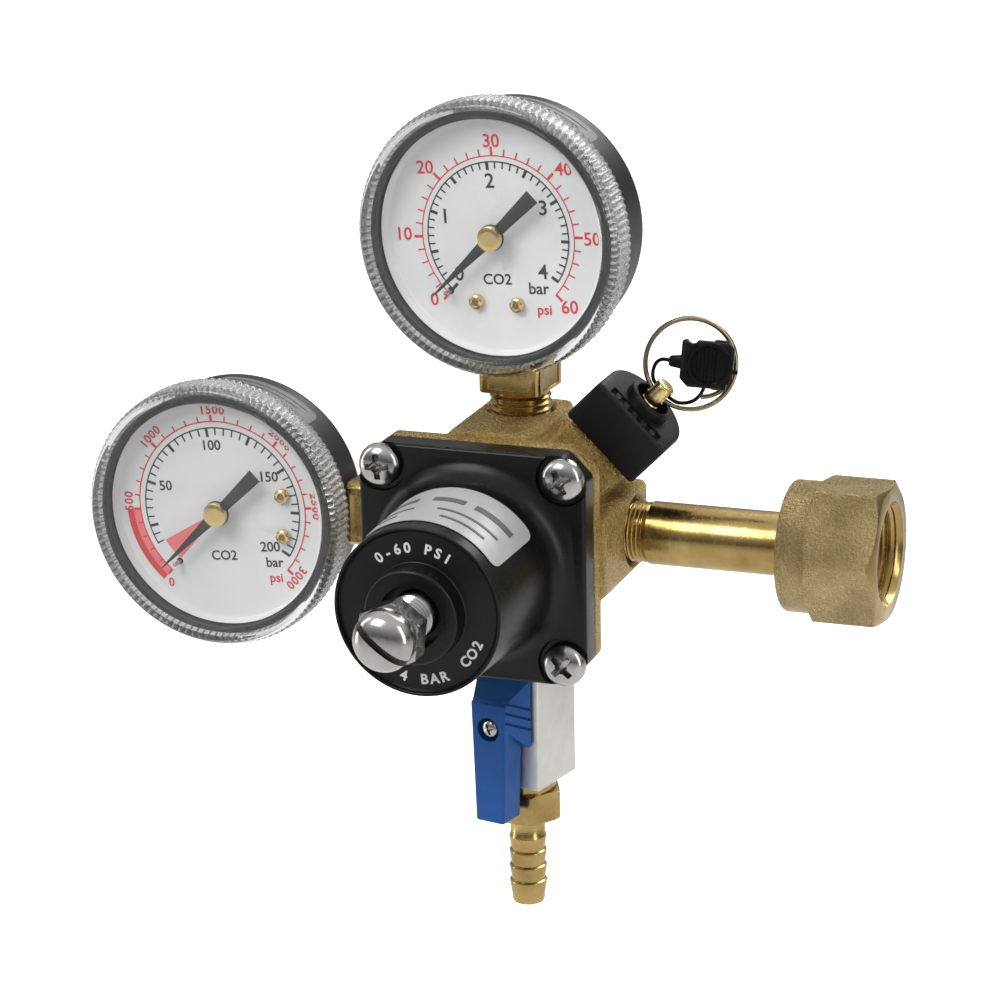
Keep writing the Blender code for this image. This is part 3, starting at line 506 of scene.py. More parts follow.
def lettering(name, text, size, matrix, material, thickness=0.03, spacing=1.0, weight=0.055):
    """Centred type as thin raised geometry. size is the cap height, weight thickens strokes."""
    data = bpy.data.curves.new(name, "FONT")
    data.body = text
    data.size = size * MM / 0.70
    data.align_x = "CENTER"
    data.align_y = "CENTER"
    data.extrude = thickness / 2 * MM
    data.offset = weight * MM
    data.space_character = spacing
    data.resolution_u = 3
    mesh = curve_mesh(data)
    mesh.materials.clear()
    return finish_mesh(name, mesh, matrix, material)


# ---- body ----
def relief_frame():
    return BODY @ DIAGONAL


def make_body():
    front = BODY_FLANGE_BACK - 0.6
    facing = BODY @ shift(y=BODY_FLANGE_BACK) @ FRONT
    outline = rounded(chamfered_square(FLANGE_HALF, 5.0), 2.0)
    flange = prism("regulator_body_brass", outline, 0.0, BODY_FLANGE_BACK - BODY_FLANGE_FRONT,
                   facing, CAST_BRASS)
    core = rod("core", 21.0, 22.5, -10.8, BODY @ FRONT, None, 96, 0.8)
    blocks = [box(f"boss_{k}", (-BOSS_HALF, front, 5.0), (BOSS_HALF, 9.4, BOSS_REACH - 0.1),
                  BODY @ turn(90 * k, "Y"), None, 1.6) for k in range(4)]
    relief = loft("relief_boss", (-8.2, front, 8.2, 8.4, 5.0),
                  (-8.2, -9.0, 8.2, 8.4, RELIEF_BOSS - 0.1),
                  relief_frame(), None, 1.0)
    body = join(flange, core, *blocks, relief)
    melt(body, 0.32, 9)
    chambers = turned("chambers", [
        (0, 27.0), (18.9, 27.0), (18.9, 24.1), (15.0, 24.1), (15.0, 19.5), (6.3, 19.5),
        (6.3, -6.0), (0, -6.0)], BODY @ FRONT)
    cut(body, chambers)
    for k, (floor, bore, reach) in enumerate(((15.0, 2.5, 10.0), (14.0, 3.2, 3.0),
                                              (15.0, 2.5, 10.0), (14.0, 2.0, 3.0))):
        cut(body, turned(f"port_{k}", [
            (0, 30.0), (8.2, 30.0), (8.2, BOSS_REACH), (NPT_SOCKET + 0.25, BOSS_REACH - 0.9),
            (NPT_SOCKET - 0.05, floor), (bore, floor), (bore, reach), (0, reach)],
            BODY @ turn(90 * k, "Y")), angle=60.0)
    cut(body, turned("relief_port", [
        (0, 34.0), (6.2, 34.0), (6.2, 16.0), (2.4, 16.0), (2.4, 11.0), (0, 11.0)], relief_frame()),
        angle=60.0)
    for k, (sx, sz) in enumerate(CORNERS):
        cut(body, rod(f"hole_{k}", 2.65, 28.0, 21.0,
                      BODY @ shift(sx * SCREW_HALF, 0, sz * SCREW_HALF) @ FRONT, None, 32),
                      angle=60.0)
    return stand(body, "regulator", "regulator_body")


# ---- bonnet, its screws, label and rim lettering ----
def bonnet_frame():
    return BODY @ shift(y=FLANGE_FRONT) @ FRONT


def make_bonnet():
    facing = bonnet_frame()
    outline = rounded(chamfered_square(FLANGE_HALF, 5.0), 2.0)
    flange = prism("bonnet_coated", outline, -(BONNET_JOINT - FLANGE_FRONT), 0.0, facing,
                   BLACK_COAT, 0.7)
    profile = [(0, 36.8), (9.3, 36.8)] + arc(9.3, 35.9, 0.9, 90, 0, 4)
    profile += [(10.2, 32.3)] + arc(10.7, 32.3, 0.5, 180, 270, 3) + [(16.9, 31.8)]
    profile += [(17.25, 32.1), (17.4, 32.6)] + arc(17.75, 32.4, 0.38, 150, 0, 5)
    profile += [(18.9, 9.0)] + arc(24.9, 5.6, 6.0, 178, 258, 10)
    profile += [(24.4, -0.35), (24.4, -3.0), (0, -3.0)]
    tower = turned("tower", profile, facing, None, 160)
    bonnet = join(flange, tower)
    chamber = turned("chamber", [
        (0, 38.0), (7.3, 38.0), (6.6, 36.2), (6.6, 33.4), (5.1, 33.4), (5.1, 26.5), (13.6, 26.5),
        (14.4, 25.7), (14.4, -8.0), (0, -8.0)], facing)
    cut(bonnet, chamber)
    for k, (sx, sz) in enumerate(CORNERS):
        cut(bonnet, turned(f"spot_{k}", [
            (0, 6.0), (6.1, 6.0), (5.8, -0.5), (5.5, -0.9), (2.75, -0.9), (2.75, -9.0), (0, -9.0)],
            facing @ shift(sx * SCREW_HALF, sz * SCREW_HALF, 0), None, 48))
    stand(bonnet, "regulator", "bonnet")


def make_bonnet_screws():
    for k, ((sx, sz), twist) in enumerate(zip(CORNERS, (4.0, 25.0, 45.0, 70.0))):
        matrix = bonnet_frame() @ shift(sx * SCREW_HALF, sz * SCREW_HALF) @ turn(twist, "Z")
        head = [(0, 2.4), (1.4, 2.33), (2.6, 2.1), (3.5, 1.72), (4.1, 1.25), (4.5, 0.68),
                (4.68, 0.1), (4.7, -0.6), (2.3, -0.6)]
        screw = turned(f"bonnet_screw_{k + 1}_steel", head + ridges(-3.0, -10.0, 2.3, 2.0, 0.8)
                       + [(1.8, -10.2), (0, -10.2)], matrix, STEEL, 64)
        for wide, narrow in ((2.95, 0.72), (0.72, 2.95)):
            cut(screw, loft("recess", (-wide * 0.5, -narrow * 0.7, wide * 0.5, narrow * 0.7, -0.3),
                            (-wide, -narrow, wide, narrow, 2.5), matrix, None, 0.08, 1))
        cut(screw, turned("recess_core", [(0, 3.0), (1.5, 3.0), (0.8, -0.4), (0, -0.4)], matrix,
                          None, 24))
        stand(screw, "regulator", f"bonnet_screw_{k + 1}")


def film(name, facing, radius_at, thickness, mean_radius, start, end, low, high, material,
         corner, rows, columns):
    """A thin film wrapped on a round piece, from start to end degrees about its axis and from low
    to high along it. Its corners are rounded by pulling in each end's height."""
    work = bmesh.new()
    run = math.radians(abs(end - start)) * mean_radius
    layers = []
    for extra in (0.0, thickness):
        grid = []
        for i in range(columns + 1):
            from_end = min(i, columns - i) / columns * run
            pull = 0.0
            if from_end < corner:
                pull = corner - math.sqrt(max(0.0, corner ** 2 - (corner - from_end) ** 2))
            row = []
            for k in range(rows + 1):
                h = (low + pull) + (high - low - 2 * pull) * k / rows
                place = polar(radius_at(h) + extra, start + (end - start) * i / columns)
                row.append(work.verts.new(Vector((*place, h)) * MM))
            grid.append(row)
        layers.append(grid)
    for grid in layers:
        for i in range(columns):
            for k in range(rows):
                work.faces.new((grid[i][k], grid[i + 1][k], grid[i + 1][k + 1], grid[i][k + 1]))
    rim = [(i, 0) for i in range(columns)] + [(columns, k) for k in range(rows)]
    rim += [(i, rows) for i in range(columns, 0, -1)] + [(0, k) for k in range(rows, 0, -1)]
    for (i, k), (m, n) in zip(rim, rim[1:] + rim[:1]):
        work.faces.new((layers[0][i][k], layers[0][m][n], layers[1][m][n], layers[1][i][k]))
    return from_bmesh(name, work, facing, material)


def tower_film(name, lift, start, end, low, high, material, corner=0.0, rows=24, columns=64):
    """A film on the bonnet's tapering tower, its heights ahead of the flange."""
    return film(name, bonnet_frame(), lambda h: 18.9 - 0.6 * (h - 9.0) / 23.4 + lift, 0.12, 18.5,
                start, end, low, high, material, corner, rows, columns)


def make_bonnet_label():
    label = tower_film("bonnet_label", 0.03, 134.0, 31.0, 7.4, 29.0, LABEL, 2.2)
    stand(label, "regulator")
    bars = [tower_film(f"bar_{k}", 0.17, a, b, low, low + deep, INK_GREY, 0.0, 2, 32)
            for k, (a, b, low, deep) in enumerate((
                (69.0, 40.0, 14.2, 2.1), (88.0, 44.0, 20.6, 0.8), (82.0, 50.0, 24.4, 0.8),
                (126.0, 108.0, 14.0, 1.9), (126.0, 104.0, 20.6, 0.6), (126.0, 112.0, 24.2, 0.6),
                (97.0, 76.0, 14.2, 2.1)))]
    stand(merged("bonnet_label_rules", bars), "regulator")


def make_rim_lettering():
    """Generic figures round the recessed rim face."""
    facing = bonnet_frame()
    face = 31.82
    made = []
    for text, centre, direction, radius, advance in (
            ("0-60 PSI", 94.0, -1, 13.4, 9.6), ("CO2", -35.0, 1, 14.2, 9.6),
            ("4 BAR", -86.0, 1, 14.7, 8.8)):
        for i, letter in enumerate(text):
            if letter == " ":
                continue
            angle = centre + direction * (i - (len(text) - 1) / 2) * advance
            upright = angle - 90 if direction < 0 else angle + 90
            made.append(lettering(f"rim_{len(made)}", letter, 2.1,
                                  facing @ turn(angle, "Z") @ shift(radius, 0, face)
                                  @ turn(upright - angle, "Z"), INK_WHITE, 0.06, 1.0, 0.09))
    stand(merged("bonnet_rim_figures", made), "regulator")


# ---- adjusting screw ----
def make_adjusting_screw():
    facing = BODY @ FRONT
    back, top = 76.3, 81.3
    screw = prism("adjusting_screw_steel", hexagon(12.7, 23), back, top, facing, STEEL)
    corner = 12.7 / math.sqrt(3)
    shave = turned("shave", [(corner - 0.9, top + 0.2), (corner + 3, top + 0.2),
                             (corner + 3, top - 1.6)],
                   facing, closed=True)
    cut(screw, shave)
    base = top + 2.2
    height = 87.34 - base
    dome = [(6.4 * math.cos(math.radians(a)) ** 0.86, base + height * math.sin(math.radians(a)))
            for a in range(84, -1, -6)]
    dome.insert(0, (0, base + height))
    profile = dome + [(6.4, top + 0.3), (5.9, top - 0.2), (5.6, top - 0.6), (5.6, back - 0.3),
                      (4.75, back - 0.3)]
    profile += ridges(back - 0.6, 58.0, 4.75, 4.15, 1.41) + [(3.8, 56.7), (0, 56.7)]
    join(screw, turned("turned_part", profile, facing))
    cut(screw, box("slot", (-0.75, -9.0, base - 0.7), (0.75, 9.0, 92.0), facing @ turn(52, "Z"),
                   None, 0.12, 2))
    stand(screw, "adjusting_screw", "adjusting_screw")


# ---- inlet ----
def make_inlet():
    boss = BODY_X + BOSS_REACH
    start = BODY_X + 14.6
    profile = [(3.0, 0.0), (6.4, 0.0), (6.6, -0.15), (7.2, -0.75), (7.2, -3.2), (9.1, -3.2),
               (9.4, -3.5), (9.4, -6.4), (9.1, -6.7), (6.86, -6.7), (6.86, boss + 3.9),
               (6.7, boss + 3.8)]
    profile += ridges(boss + 3.3, boss - 0.6, 6.6, 6.2, 0.95)
    profile += [(6.45, boss - 1.0), (6.2, start), (3.0, start)]
    nipple = turned("inlet_nipple_brass", profile, RIGHT, BRASS, 96, closed=True)
    stand(nipple, "regulator", "inlet_nipple")

    depth = NUT_FACE - NUT_BACK
    hex_start = 6.0
    matrix = shift(NUT_BACK) @ RIGHT
    nut = prism("coupling_nut_brass", rounded(hexagon(NUT_FLATS, 26), 0.9, 4),
                hex_start, depth, matrix, NUT_BRASS)
    collar = turned("collar", [
        (0, hex_start + 2.0), (14.2, hex_start + 2.0), (14.2, 0.9)] + arc(13.3, 0.9, 0.9, 0, -90, 5)
        + [(0, 0.0)], matrix)
    join(nut, collar)
    crest = NUT_FLATS / math.sqrt(3)
    cut(nut, turned("front_shave", [
        (13.9, depth + 2.0), (24.0, depth + 2.0), (24.0, depth - 6.0), (crest + 3.4, depth - 3.6),
        (14.1, depth)], matrix, None, 128, closed=True))
    cut(nut, turned("back_shave", [
        (14.2, hex_start + 0.2), (crest + 2.0, hex_start + 2.4), (24.0, hex_start - 2.0),
        (14.2, hex_start - 2.0)], matrix, None, 128, closed=True))
    work = bmesh.new()
    work.from_mesh(nut.data)
    bmesh.ops.remove_doubles(work, verts=work.verts, dist=2e-6)
    work.to_mesh(nut.data)
    work.free()
    bore = [(0, depth + 1.0), (11.5, depth + 1.0), (11.1, depth - 0.3), (10.35, depth - 1.3)]
    bore += ridges(depth - 1.6, 8.2, 9.85, 10.55, 1.81)
    bore += [(10.4, 6.6), (7.25, 6.6), (7.25, -1.0), (0, -1.0)]
    cut(nut, turned("nut_bore", bore, matrix))
    nut.data.materials.append(BRASS)
    for face in nut.data.polygons:
        if face.normal.z > 0.25 or math.hypot(face.center.x, face.center.y) < 11.6 * MM:
            face.material_index = 1
    stand(nut, "coupling_nut", "coupling_nut")


# ---- relief valve, pull ring and seal ----
def make_relief():
    axis = relief_frame()
    outline = [(10.1, -10.1), (10.1, 0.0)]
    outline += [polar(10.1, a) for a in range(4, 177, 4)]
    outline += [(-10.1, 0.0), (-10.1, -10.1)]
    cap = prism("relief_cap_rubber", outline, RELIEF_BOSS + 0.3, RELIEF_BOSS + 11.3, axis, RUBBER,
                0.9, 4, 30.0)
    lip = turned("lip", [(0, 42.4), (4.9, 42.4)] + arc(4.9, 41.9, 0.5, 90, 0, 4)
                 + [(5.4, 39.5), (0, 39.5)], axis, None, 64)
    join(cap, lip)
    end = RELIEF_BOSS + 11.3
    cut(cap, box("panel", (-7.2, -9.3, end - 0.8), (7.2, -5.8, end + 1.0), axis, None, 0.1, 1))
    for k in range(5):
        x = -5.2 + 2.6 * k
        join(cap, box(f"bar_{k}", (x - 0.7, -8.7, end - 1.1), (x + 0.7, -6.3, end - 0.05), axis,
                      None, 0.1, 1))
    cut(cap, turned("hollow", [
        (0, 43.0), (4.3, 43.0), (4.3, 39.6), (2.7, 39.6), (2.7, 37.8), (8.7, 37.8), (8.7, 28.0),
        (0, 28.0)], axis, None, 64))
    stand(cap, "regulator", "relief_cap")
    pin = turned("relief_pin_brass", [
        (0, 46.9), (1.6, 46.9)] + arc(1.6, 46.3, 0.6, 90, 0, 4) + [(2.2, 42.6), (2.05, 42.4),
        (2.05, 41.9), (2.2, 41.7), (2.2, 25.4), (4.1, 25.4), (4.1, 23.6), (0, 23.6)], axis,
        BRIGHT_BRASS, 48)
    slot = arc(0, 43.9, 0.95, 180, 360, 12) + arc(0, 45.15, 0.95, 0, 180, 12)
    cut(pin, prism("pin_slot", slot, -4.0, 4.0, axis @ turn(90, "Z") @ FRONT))
    stand(pin, "relief_pin", "relief_pin")


def ring_frame():
    lean = math.radians(17.0)
    slot_axis = Vector((1, 0, -1)).normalized()
    pin_axis = Vector((1, 0, 1)).normalized()
    out = pin_axis * math.cos(lean) + Vector((0, 1, 0)) * math.sin(lean)
    matrix = Matrix((slot_axis, out, slot_axis.cross(out))).transposed().to_4x4()
    matrix.translation = (Vector((BODY_X, 0, 0)) + pin_axis * 43.8) * MM
    return matrix


def make_pull_ring():
    radius, pin_at, total, count = 9.7, 271.5, 568.0, 200
    points = []
    for i in range(count + 1):
        run = total * i / count
        angle = math.radians(270.0 - (run - pin_at))
        tail = max(run - 470.0, 0.0) / (total - 470.0)
        reach = radius - 2.3 * tail * tail
        points.append((reach * math.cos(angle), radius + reach * math.sin(angle),
                       -1.35 * (run - pin_at) / 360.0))
    wire = tube("split_ring_wire", points, 0.55, ring_frame(), BRONZE, 3)
    stand(wire, "split_ring", "split_ring")


def make_seal():
    base = ring_frame()
    housing = base @ shift(2.6, 12.6, 4.6) @ turn(42, "Z")
    seal = box("tamper_seal_plastic", (-5.6, -5.0, -1.9), (5.6, 5.0, 1.9), housing, BLACK_PLASTIC,
               0.7, 3)
    join(seal, loft("bulb", (-1.1, -1.1, 1.1, 1.1, 0.0), (-2.1, -1.5, 2.1, 1.5, 3.2),
                    housing @ shift(-8.2, 0.1, 0) @ turn(90, "Y") , None, 0.6, 4))
    join(seal, rod("collar", 4.9, 2.15, 0.0, housing @ shift(0.6, 0, 0), None, 48, 0.2))
    cut(seal, rod("dish", 4.1, 3.0, 1.0, housing @ shift(0.6, 0, 0), None, 48))
    cut(seal, rod("notch", 1.2, 3.0, -3.0, housing @ shift(-3.4, 5.4, 0), None, 24))
    for k in range(3):
        join(seal, box(f"rib_{k}", (-3.0 + 1.6 * k, -3.6, 0.8), (-2.4 + 1.6 * k, 3.6, 1.5),
                       housing @ shift(0.9, 0, 0), None, 0.1, 1))
    join(seal, box("stub", (5.2, -1.6, -0.7), (6.6, -0.6, 0.7), housing, None, 0.2, 2))
    for x, y, size, angle in ((-5.6, -5.0, 2.6, 45), (5.6, -5.0, 3.4, 45), (5.9, 5.0, 2.2, 45)):
        cut(seal, box("corner", (-size / 2, -size / 2, -4.0), (size / 2, size / 2, 4.0),
                      housing @ shift(x, y, 0) @ turn(angle, "Z"), None))
    for side in (-1, 1):
        join(seal, box("latch", (1.2, 4.4 * side - 0.8, -1.2), (4.4, 4.4 * side + 1.0, 1.2),
                       housing,
                       None, 0.3, 2))
    route = [(-3.0, 7.6, 4.6), (-3.9, 7.1, 4.5), (-4.9, 6.0, 3.8), (-5.0, 4.4, 2.6),
             (-4.1, 2.6, 1.0),
             (-2.8, 1.55, 0.25), (-1.4, 1.35, -0.1), (0.0, 1.3, -0.1), (1.4, 1.35, -0.1),
             (2.8, 1.55, 0.25), (4.4, 2.3, 1.2), (5.7, 3.9, 2.6), (6.3, 5.6, 3.7), (6.2, 7.4, 4.5),
             (5.6, 9.0, 4.6)]
    join(seal, tube("strap", smooth_route(route, 5), 0.42, base, None, 3))
    stand(seal, "tamper_seal", "tamper_seal")


# ---- gauges ----
def dial_place(facing, angle, radius, lift=0.0):
    """Place on the dial: its local X points outwards."""
    return facing @ turn(angle, "Z") @ shift(radius, 0, DIAL_FACE + lift)


def tick(name, facing, angle, inner, outer, width, material, thickness=0.05):
    return box(name, (inner, -width / 2, 0.0), (outer, width / 2, thickness),
               dial_place(facing, angle, 0.0, 0.01), material)


def sweep(name, facing, start, end, inner, outer, material, thickness=0.04, lift=0.01, steps=90):
    """A printed arc, drawn from one angle round to another."""
    angles = [math.radians(start + (end - start) * k / steps) for k in range(steps + 1)]
    rim = [(outer * math.cos(a), outer * math.sin(a)) for a in angles]
    if inner <= 0.0:
        rim.append((0.0, 0.0))
    else:
        rim += [(inner * math.cos(a), inner * math.sin(a)) for a in reversed(angles)]
    return prism(name, rim, DIAL_FACE + lift, DIAL_FACE + lift + thickness, facing, material)


def scale_ticks(group, facing, steps, full, inner, outer, widths, material):
    """Ticks at these steps of a 270 degree scale. Each pair is for every fifth tick, then the
    rest."""
    for step in steps:
        k = 0 if step % TICKS_PER_NUMBER == 0 else 1
        group.append(tick("tick", facing, POINTER_ZERO - SCALE_SWEEP * step / full, inner[k],
                          outer[k],
                          widths[k], material))


def numerals(group, facing, entries, size, material):
    """Upright type set at points on the dial, given in millimetres from its middle."""
    for text, x, y in entries:
        group.append(lettering("n", text, size, facing @ shift(x, y, DIAL_FACE + 0.03), material,
                               0.05))


def outlet_print(dial):
    facing = dial @ shift(0.3, -0.45) @ turn(3.8, "Z")
    red = [sweep("r", facing, 225, -45, 17.4, 17.66, INK_RED)]
    scale_ticks(red, facing, range(31), 30, (17.5, 17.5), (19.5, 19.1), (0.58, 0.32), INK_RED)
    numerals(red, facing, (("0", -16.0, -13.9), ("10", -22.0, 0.4), ("20", -15.7, 14.9),
                           ("30", 0.1, 20.6), ("40", 16.25, 14.6), ("50", 21.6, -0.4),
                           ("60", 15.3, -15.2)), 2.8, INK_RED)
    numerals(red, facing, (("psi", 9.5, -15.8),), 2.2, INK_RED)
    stand(merged("outlet_gauge_print_red", red), "regulator")
    span = 58.0 / 60.0
    black = [sweep("k", facing, 225, 225 - 270 * span, 16.1, 16.4, INK_BLACK)]
    scale_ticks(black, facing, range(41), 40 / span, (14.5, 14.8), (16.3, 16.3), (0.68, 0.33),
                INK_BLACK)
    numerals(black, facing, (("0", -9.7, -8.2), ("1", -11.9, 4.3), ("2", -0.9, 12.0),
                             ("3", 10.9, 6.2), ("4", 9.8, -7.6)), 3.15, INK_BLACK)
    numerals(black, facing, (("bar", 8.5, -11.2),), 2.5, INK_BLACK)
    numerals(black, facing, (("CO2", -0.9, -9.3),), 2.3, INK_BLACK)
    stand(merged("outlet_gauge_print_black", black), "regulator")


def inlet_print(dial):
    facing = dial @ shift(0.0, 0.3) @ turn(5.2, "Z")
    red = [sweep("r", facing, 225, -45, 20.0, 20.3, INK_RED),
           sweep("r", facing, 225, 180, 21.9, 23.4, INK_RED, 0.08)]
    scale_ticks(red, facing, range(31), 30, (20.1, 20.1), (21.7, 21.4), (0.58, 0.32), INK_RED)
    for text, middle in (("500", 175.5), ("1000", 132.7), ("1500", 88.8), ("2000", 44.4),
                         ("2500", 1.2), ("3000", -45.0), ("0", 229.5)):
        for i, digit in enumerate(text):
            here = middle - (i - (len(text) - 1) / 2) * 4.0
            tilt = -here if text == "0" else -90
            red.append(lettering("r", digit, 2.0, dial_place(facing, here, 22.8, 0.03)
                                 @ turn(tilt, "Z"), INK_RED, 0.05))
    numerals(red, facing, (("psi", 11.2, -16.2),), 2.1, INK_RED)
    stand(merged("inlet_gauge_print_red", red), "regulator")
    pink = [sweep("p", facing, 225, 180, 20.3, 21.9, INK_PINK, 0.03, 0.0),
            sweep("p", facing, 225, 206, 0.0, 16.6, INK_PINK, 0.03, 0.0)]
    stand(merged("inlet_gauge_print_light_red", pink), "regulator")
    span = 2901.0 / 3000.0
    black = [sweep("k", facing, 206, 225 - 270 * span, 18.55, 18.85, INK_BLACK)]
    scale_ticks(black, facing, range(3, 41), 40 / span, (16.6, 17.0), (18.75, 18.75),
                (0.66, 0.33), INK_BLACK)
    numerals(black, facing, (("50", -13.2, 5.3), ("100", -0.8, 14.6), ("150", 12.2, 7.2),
                             ("200", 10.6, -9.0)), 2.25, INK_BLACK)
    numerals(black, facing, (("bar", 11.2, -12.6), ("CO2", -0.9, -11.0)), 2.2, INK_BLACK)
    stand(merged("inlet_gauge_print_black", black), "regulator")


def make_lens(prefix, facing):
    """Clear cap with a flat window, a raised rim and fine axial ribs round its skirt."""
    ribs = 116
    profile = [(0, 17.5), (25.2, 17.5), (25.9, 17.55), (26.3, 17.8), (26.8, 18.0), (28.3, 18.0),
               (28.9, 17.75), (29.35, 17.1), (29.7, 16.4), (29.75, 15.6), (29.75, 10.6),
               (29.6, 9.8), (29.2, 9.4), (27.8, 9.4), (27.8, 16.3), (26.6, 16.45), (25.6, 16.35),
               (24.6, 16.4), (0, 16.4)]
    ribbed = {8: 0.35, 9: 1.0, 10: 1.0, 11: 0.6}

    def ripple(index, angle):
        if index not in ribbed:
            return 0.0
        wave = 0.5 + 0.5 * math.cos(ribs * angle)
        return (0.15 - 0.62 * (1 - wave) ** 1.3) * ribbed[index]

    lens = turned(f"{prefix}_lens_clear", profile, facing, LENS, ribs * 6, ripple=ripple,
                  angle=45.0)
    for k in range(8):
        cut(lens, box("index", (27.0, -1.6, 17.85), (28.2, 1.6, 18.6),
                      facing @ turn(45 * k + 17, "Z"),
                      None), angle=45.0)
    lens.data.materials.append(LENS_SKIRT)
    for face in lens.data.polygons:
        middle = face.center / MM
        if math.hypot(middle.x, middle.y) > 28.6 and middle.z < 16.6:
            face.material_index = 1
    lens.visible_shadow = False
    stand(lens, "regulator", f"{prefix}_lens")


def make_gauge(prefix, centre, stem_turn):
    facing = centre @ FRONT
    works = centre @ turn(stem_turn, "Y")
    inside = works @ FRONT

    case = turned(f"{prefix}_case_black", [
        (0, -4.6), (23.6, -4.6), (25.4, -3.9), (26.2, -2.3), (26.2, 15.9), (26.45, 16.2),
        (27.15, 16.2), (CASE_RADIUS, 15.9), (CASE_RADIUS, -2.2)]
        + arc(23.8, -2.2, 3.6, 0, -90, 8)[1:] + [(0, -5.8)], facing, CASE_ENAMEL, 128)
    cut(case, rod("case_hole", 4.9, -20.0, -32.0, works, None, 48))
    stand(case, "regulator", f"{prefix}_case")
    make_lens(prefix, facing)
    film, *rules = gauge_sticker(prefix, facing)
    stand(film, "regulator")
    stand(merged(f"{prefix}_sticker_rules", rules), "regulator")

    dial = turned(f"{prefix}_dial_white", [
        (1.3, DIAL_FACE), (24.4, DIAL_FACE), (25.1, DIAL_FACE + 0.25), (25.6, DIAL_FACE + 1.0),
        (25.75, DIAL_FACE + 2.2), (25.85, DIAL_FACE + 2.2), (25.85, DIAL_FACE - 0.6),
        (1.3, DIAL_FACE - 0.6)], facing, ENAMEL, 128, closed=True)
    pin_angle = math.radians(POINTER_ZERO + 5.0)
    pin_x, pin_z = 17.0 * math.cos(pin_angle), 17.0 * math.sin(pin_angle)
    cut(dial, rod("pin_hole", 0.8, 14.0, 9.0, facing @ shift(pin_x, pin_z), None, 24))
    pin = turned(f"{prefix}_stop_pin_steel", [(0, 14.2), (0.3, 14.2), (0.45, 14.05), (0.45, 10.0),
                                              (0, 10.0)], facing @ shift(pin_x, pin_z), STEEL, 24)
    stand(pin, "regulator", f"{prefix}_stop_pin")
    for k, side in enumerate((-1, 1)):
        spot = inside @ shift(side * 4.7, -14.8)
        cut(dial, rod("screw_hole", 1.2, 14.0, 9.9, spot, None, 32))
        head = turned(f"{prefix}_dial_screw_{k + 1}_brass", [
            (0, 10.9), (0.6, 10.9), (0.75, 12.55), (1.15, 12.7), (1.5, 12.5), (1.65, 12.0),
            (1.65, 11.5), (0.85, 11.5), (0.85, 7.9), (0, 7.9)], spot, BRIGHT_BRASS, 40)
        stand(head, "regulator", f"{prefix}_dial_screw_{k + 1}")
    stand(dial, "regulator", f"{prefix}_dial")

    mover = prefix.replace("_gauge", "_pointer")
    boss = arc(0, 0, 2.9, 25, 155, 10)
    lower = [(x, -y) for x, y in reversed(boss)]
    outline = ([(20.0, 0.10), (12.0, 0.60)] + boss + [(-3.4, 1.2), (-13.4, 1.7), (-13.4, -1.7),
                                                     (-3.4, -1.2)] + lower
               + [(12.0, -0.60), (20.0, -0.10)])
    pointer = prism(f"{prefix}_pointer_black", outline, 14.0, 14.42,
                    facing @ turn(POINTER_ZERO, "Z"),
                    INK_BLACK, 0.08, 2)
    join(pointer, turned("pointer_boss", [(0, 14.75), (2.55, 14.75), (2.75, 14.6), (2.75, 14.05),
                                          (0, 14.05)], facing, None, 48))
    cut(pointer, rod("pointer_bore", 0.95, 16.0, 12.0, facing, None, 24))
    stand(pointer, mover, f"{prefix}_pointer")
    hub = turned(f"{prefix}_hub_brass", [
        (0, 15.0), (0.3, 15.0), (0.38, 15.85), (2.35, 15.9), (2.65, 15.75), (2.75, 15.45),
        (2.75, 14.85),
        (0.6, 14.85), (0.6, 7.4), (0, 7.4)], inside, BRIGHT_BRASS, 48)
    stand(hub, mover)
    stem = make_stem(prefix, works)
    stand(stem, "regulator", f"{prefix}_stem")


def gauge_sticker(prefix, facing):
    """A blank sticker on the upper right of the case, with plain rules across it."""
    pieces = [case_film(f"{prefix}_sticker", facing, 0.02, 97.0, 46.0, 0.4, 9.6, 1.4, STICKER)]
    for k in range(4):
        pieces.append(case_film(f"{prefix}_rule_{k}", facing, 0.14, 92.0, 52.0 + 3.0 * (k % 2),
                                1.9 + 1.9 * k, 2.45 + 1.9 * k, 0.0, INK_GREY))
    return pieces


def case_film(name, facing, lift, start, end, low, high, corner, material):
    return film(name, facing, lambda h: CASE_RADIUS + lift, 0.1, CASE_RADIUS, start, end, low, high,
                material, corner, 1, 40)


def make_stem(prefix, works):
    neck = GAUGE_REACH - BOSS_REACH
    wrench_end = -(neck - 4.2)
    outline = chamfered_square(7.1, 0.9)
    stem = prism(f"{prefix}_stem_brass", outline, wrench_end, -27.8, works, BRASS, 0.25, 2)
    thread = [(0, -24.0), (4.6, -24.0), (4.6, -28.4), (6.3, -28.4), (6.3, wrench_end - 0.5)]
    thread += ridges(wrench_end - 0.8, -49.6, 6.7, 6.15, 1.41) + [(6.0, -50.2), (0, -50.2)]
    join(stem, turned("stem_turned", thread, works))
    join(stem, box("stem_socket", (-4.5, -7.9, -24.4), (4.5, 3.0, -15.4), works))
    for side in (0, 90, 180, 270):
        cut(stem, box("flat", (-4.6, -7.4, wrench_end + 0.8), (4.6, -6.85, -28.6),
                      works @ turn(side, "Z"), None, 0.2, 2))
    cut(stem, rod("stem_bore", 1.8, -20.0, -52.0, works, None, 32))
    return stem


# ---- shut-off valve, lever and barb ----
def valve_frame():
    return BODY @ turn(VALVE_TURN, "Z") @ shift(z=VALVE_CENTRE)


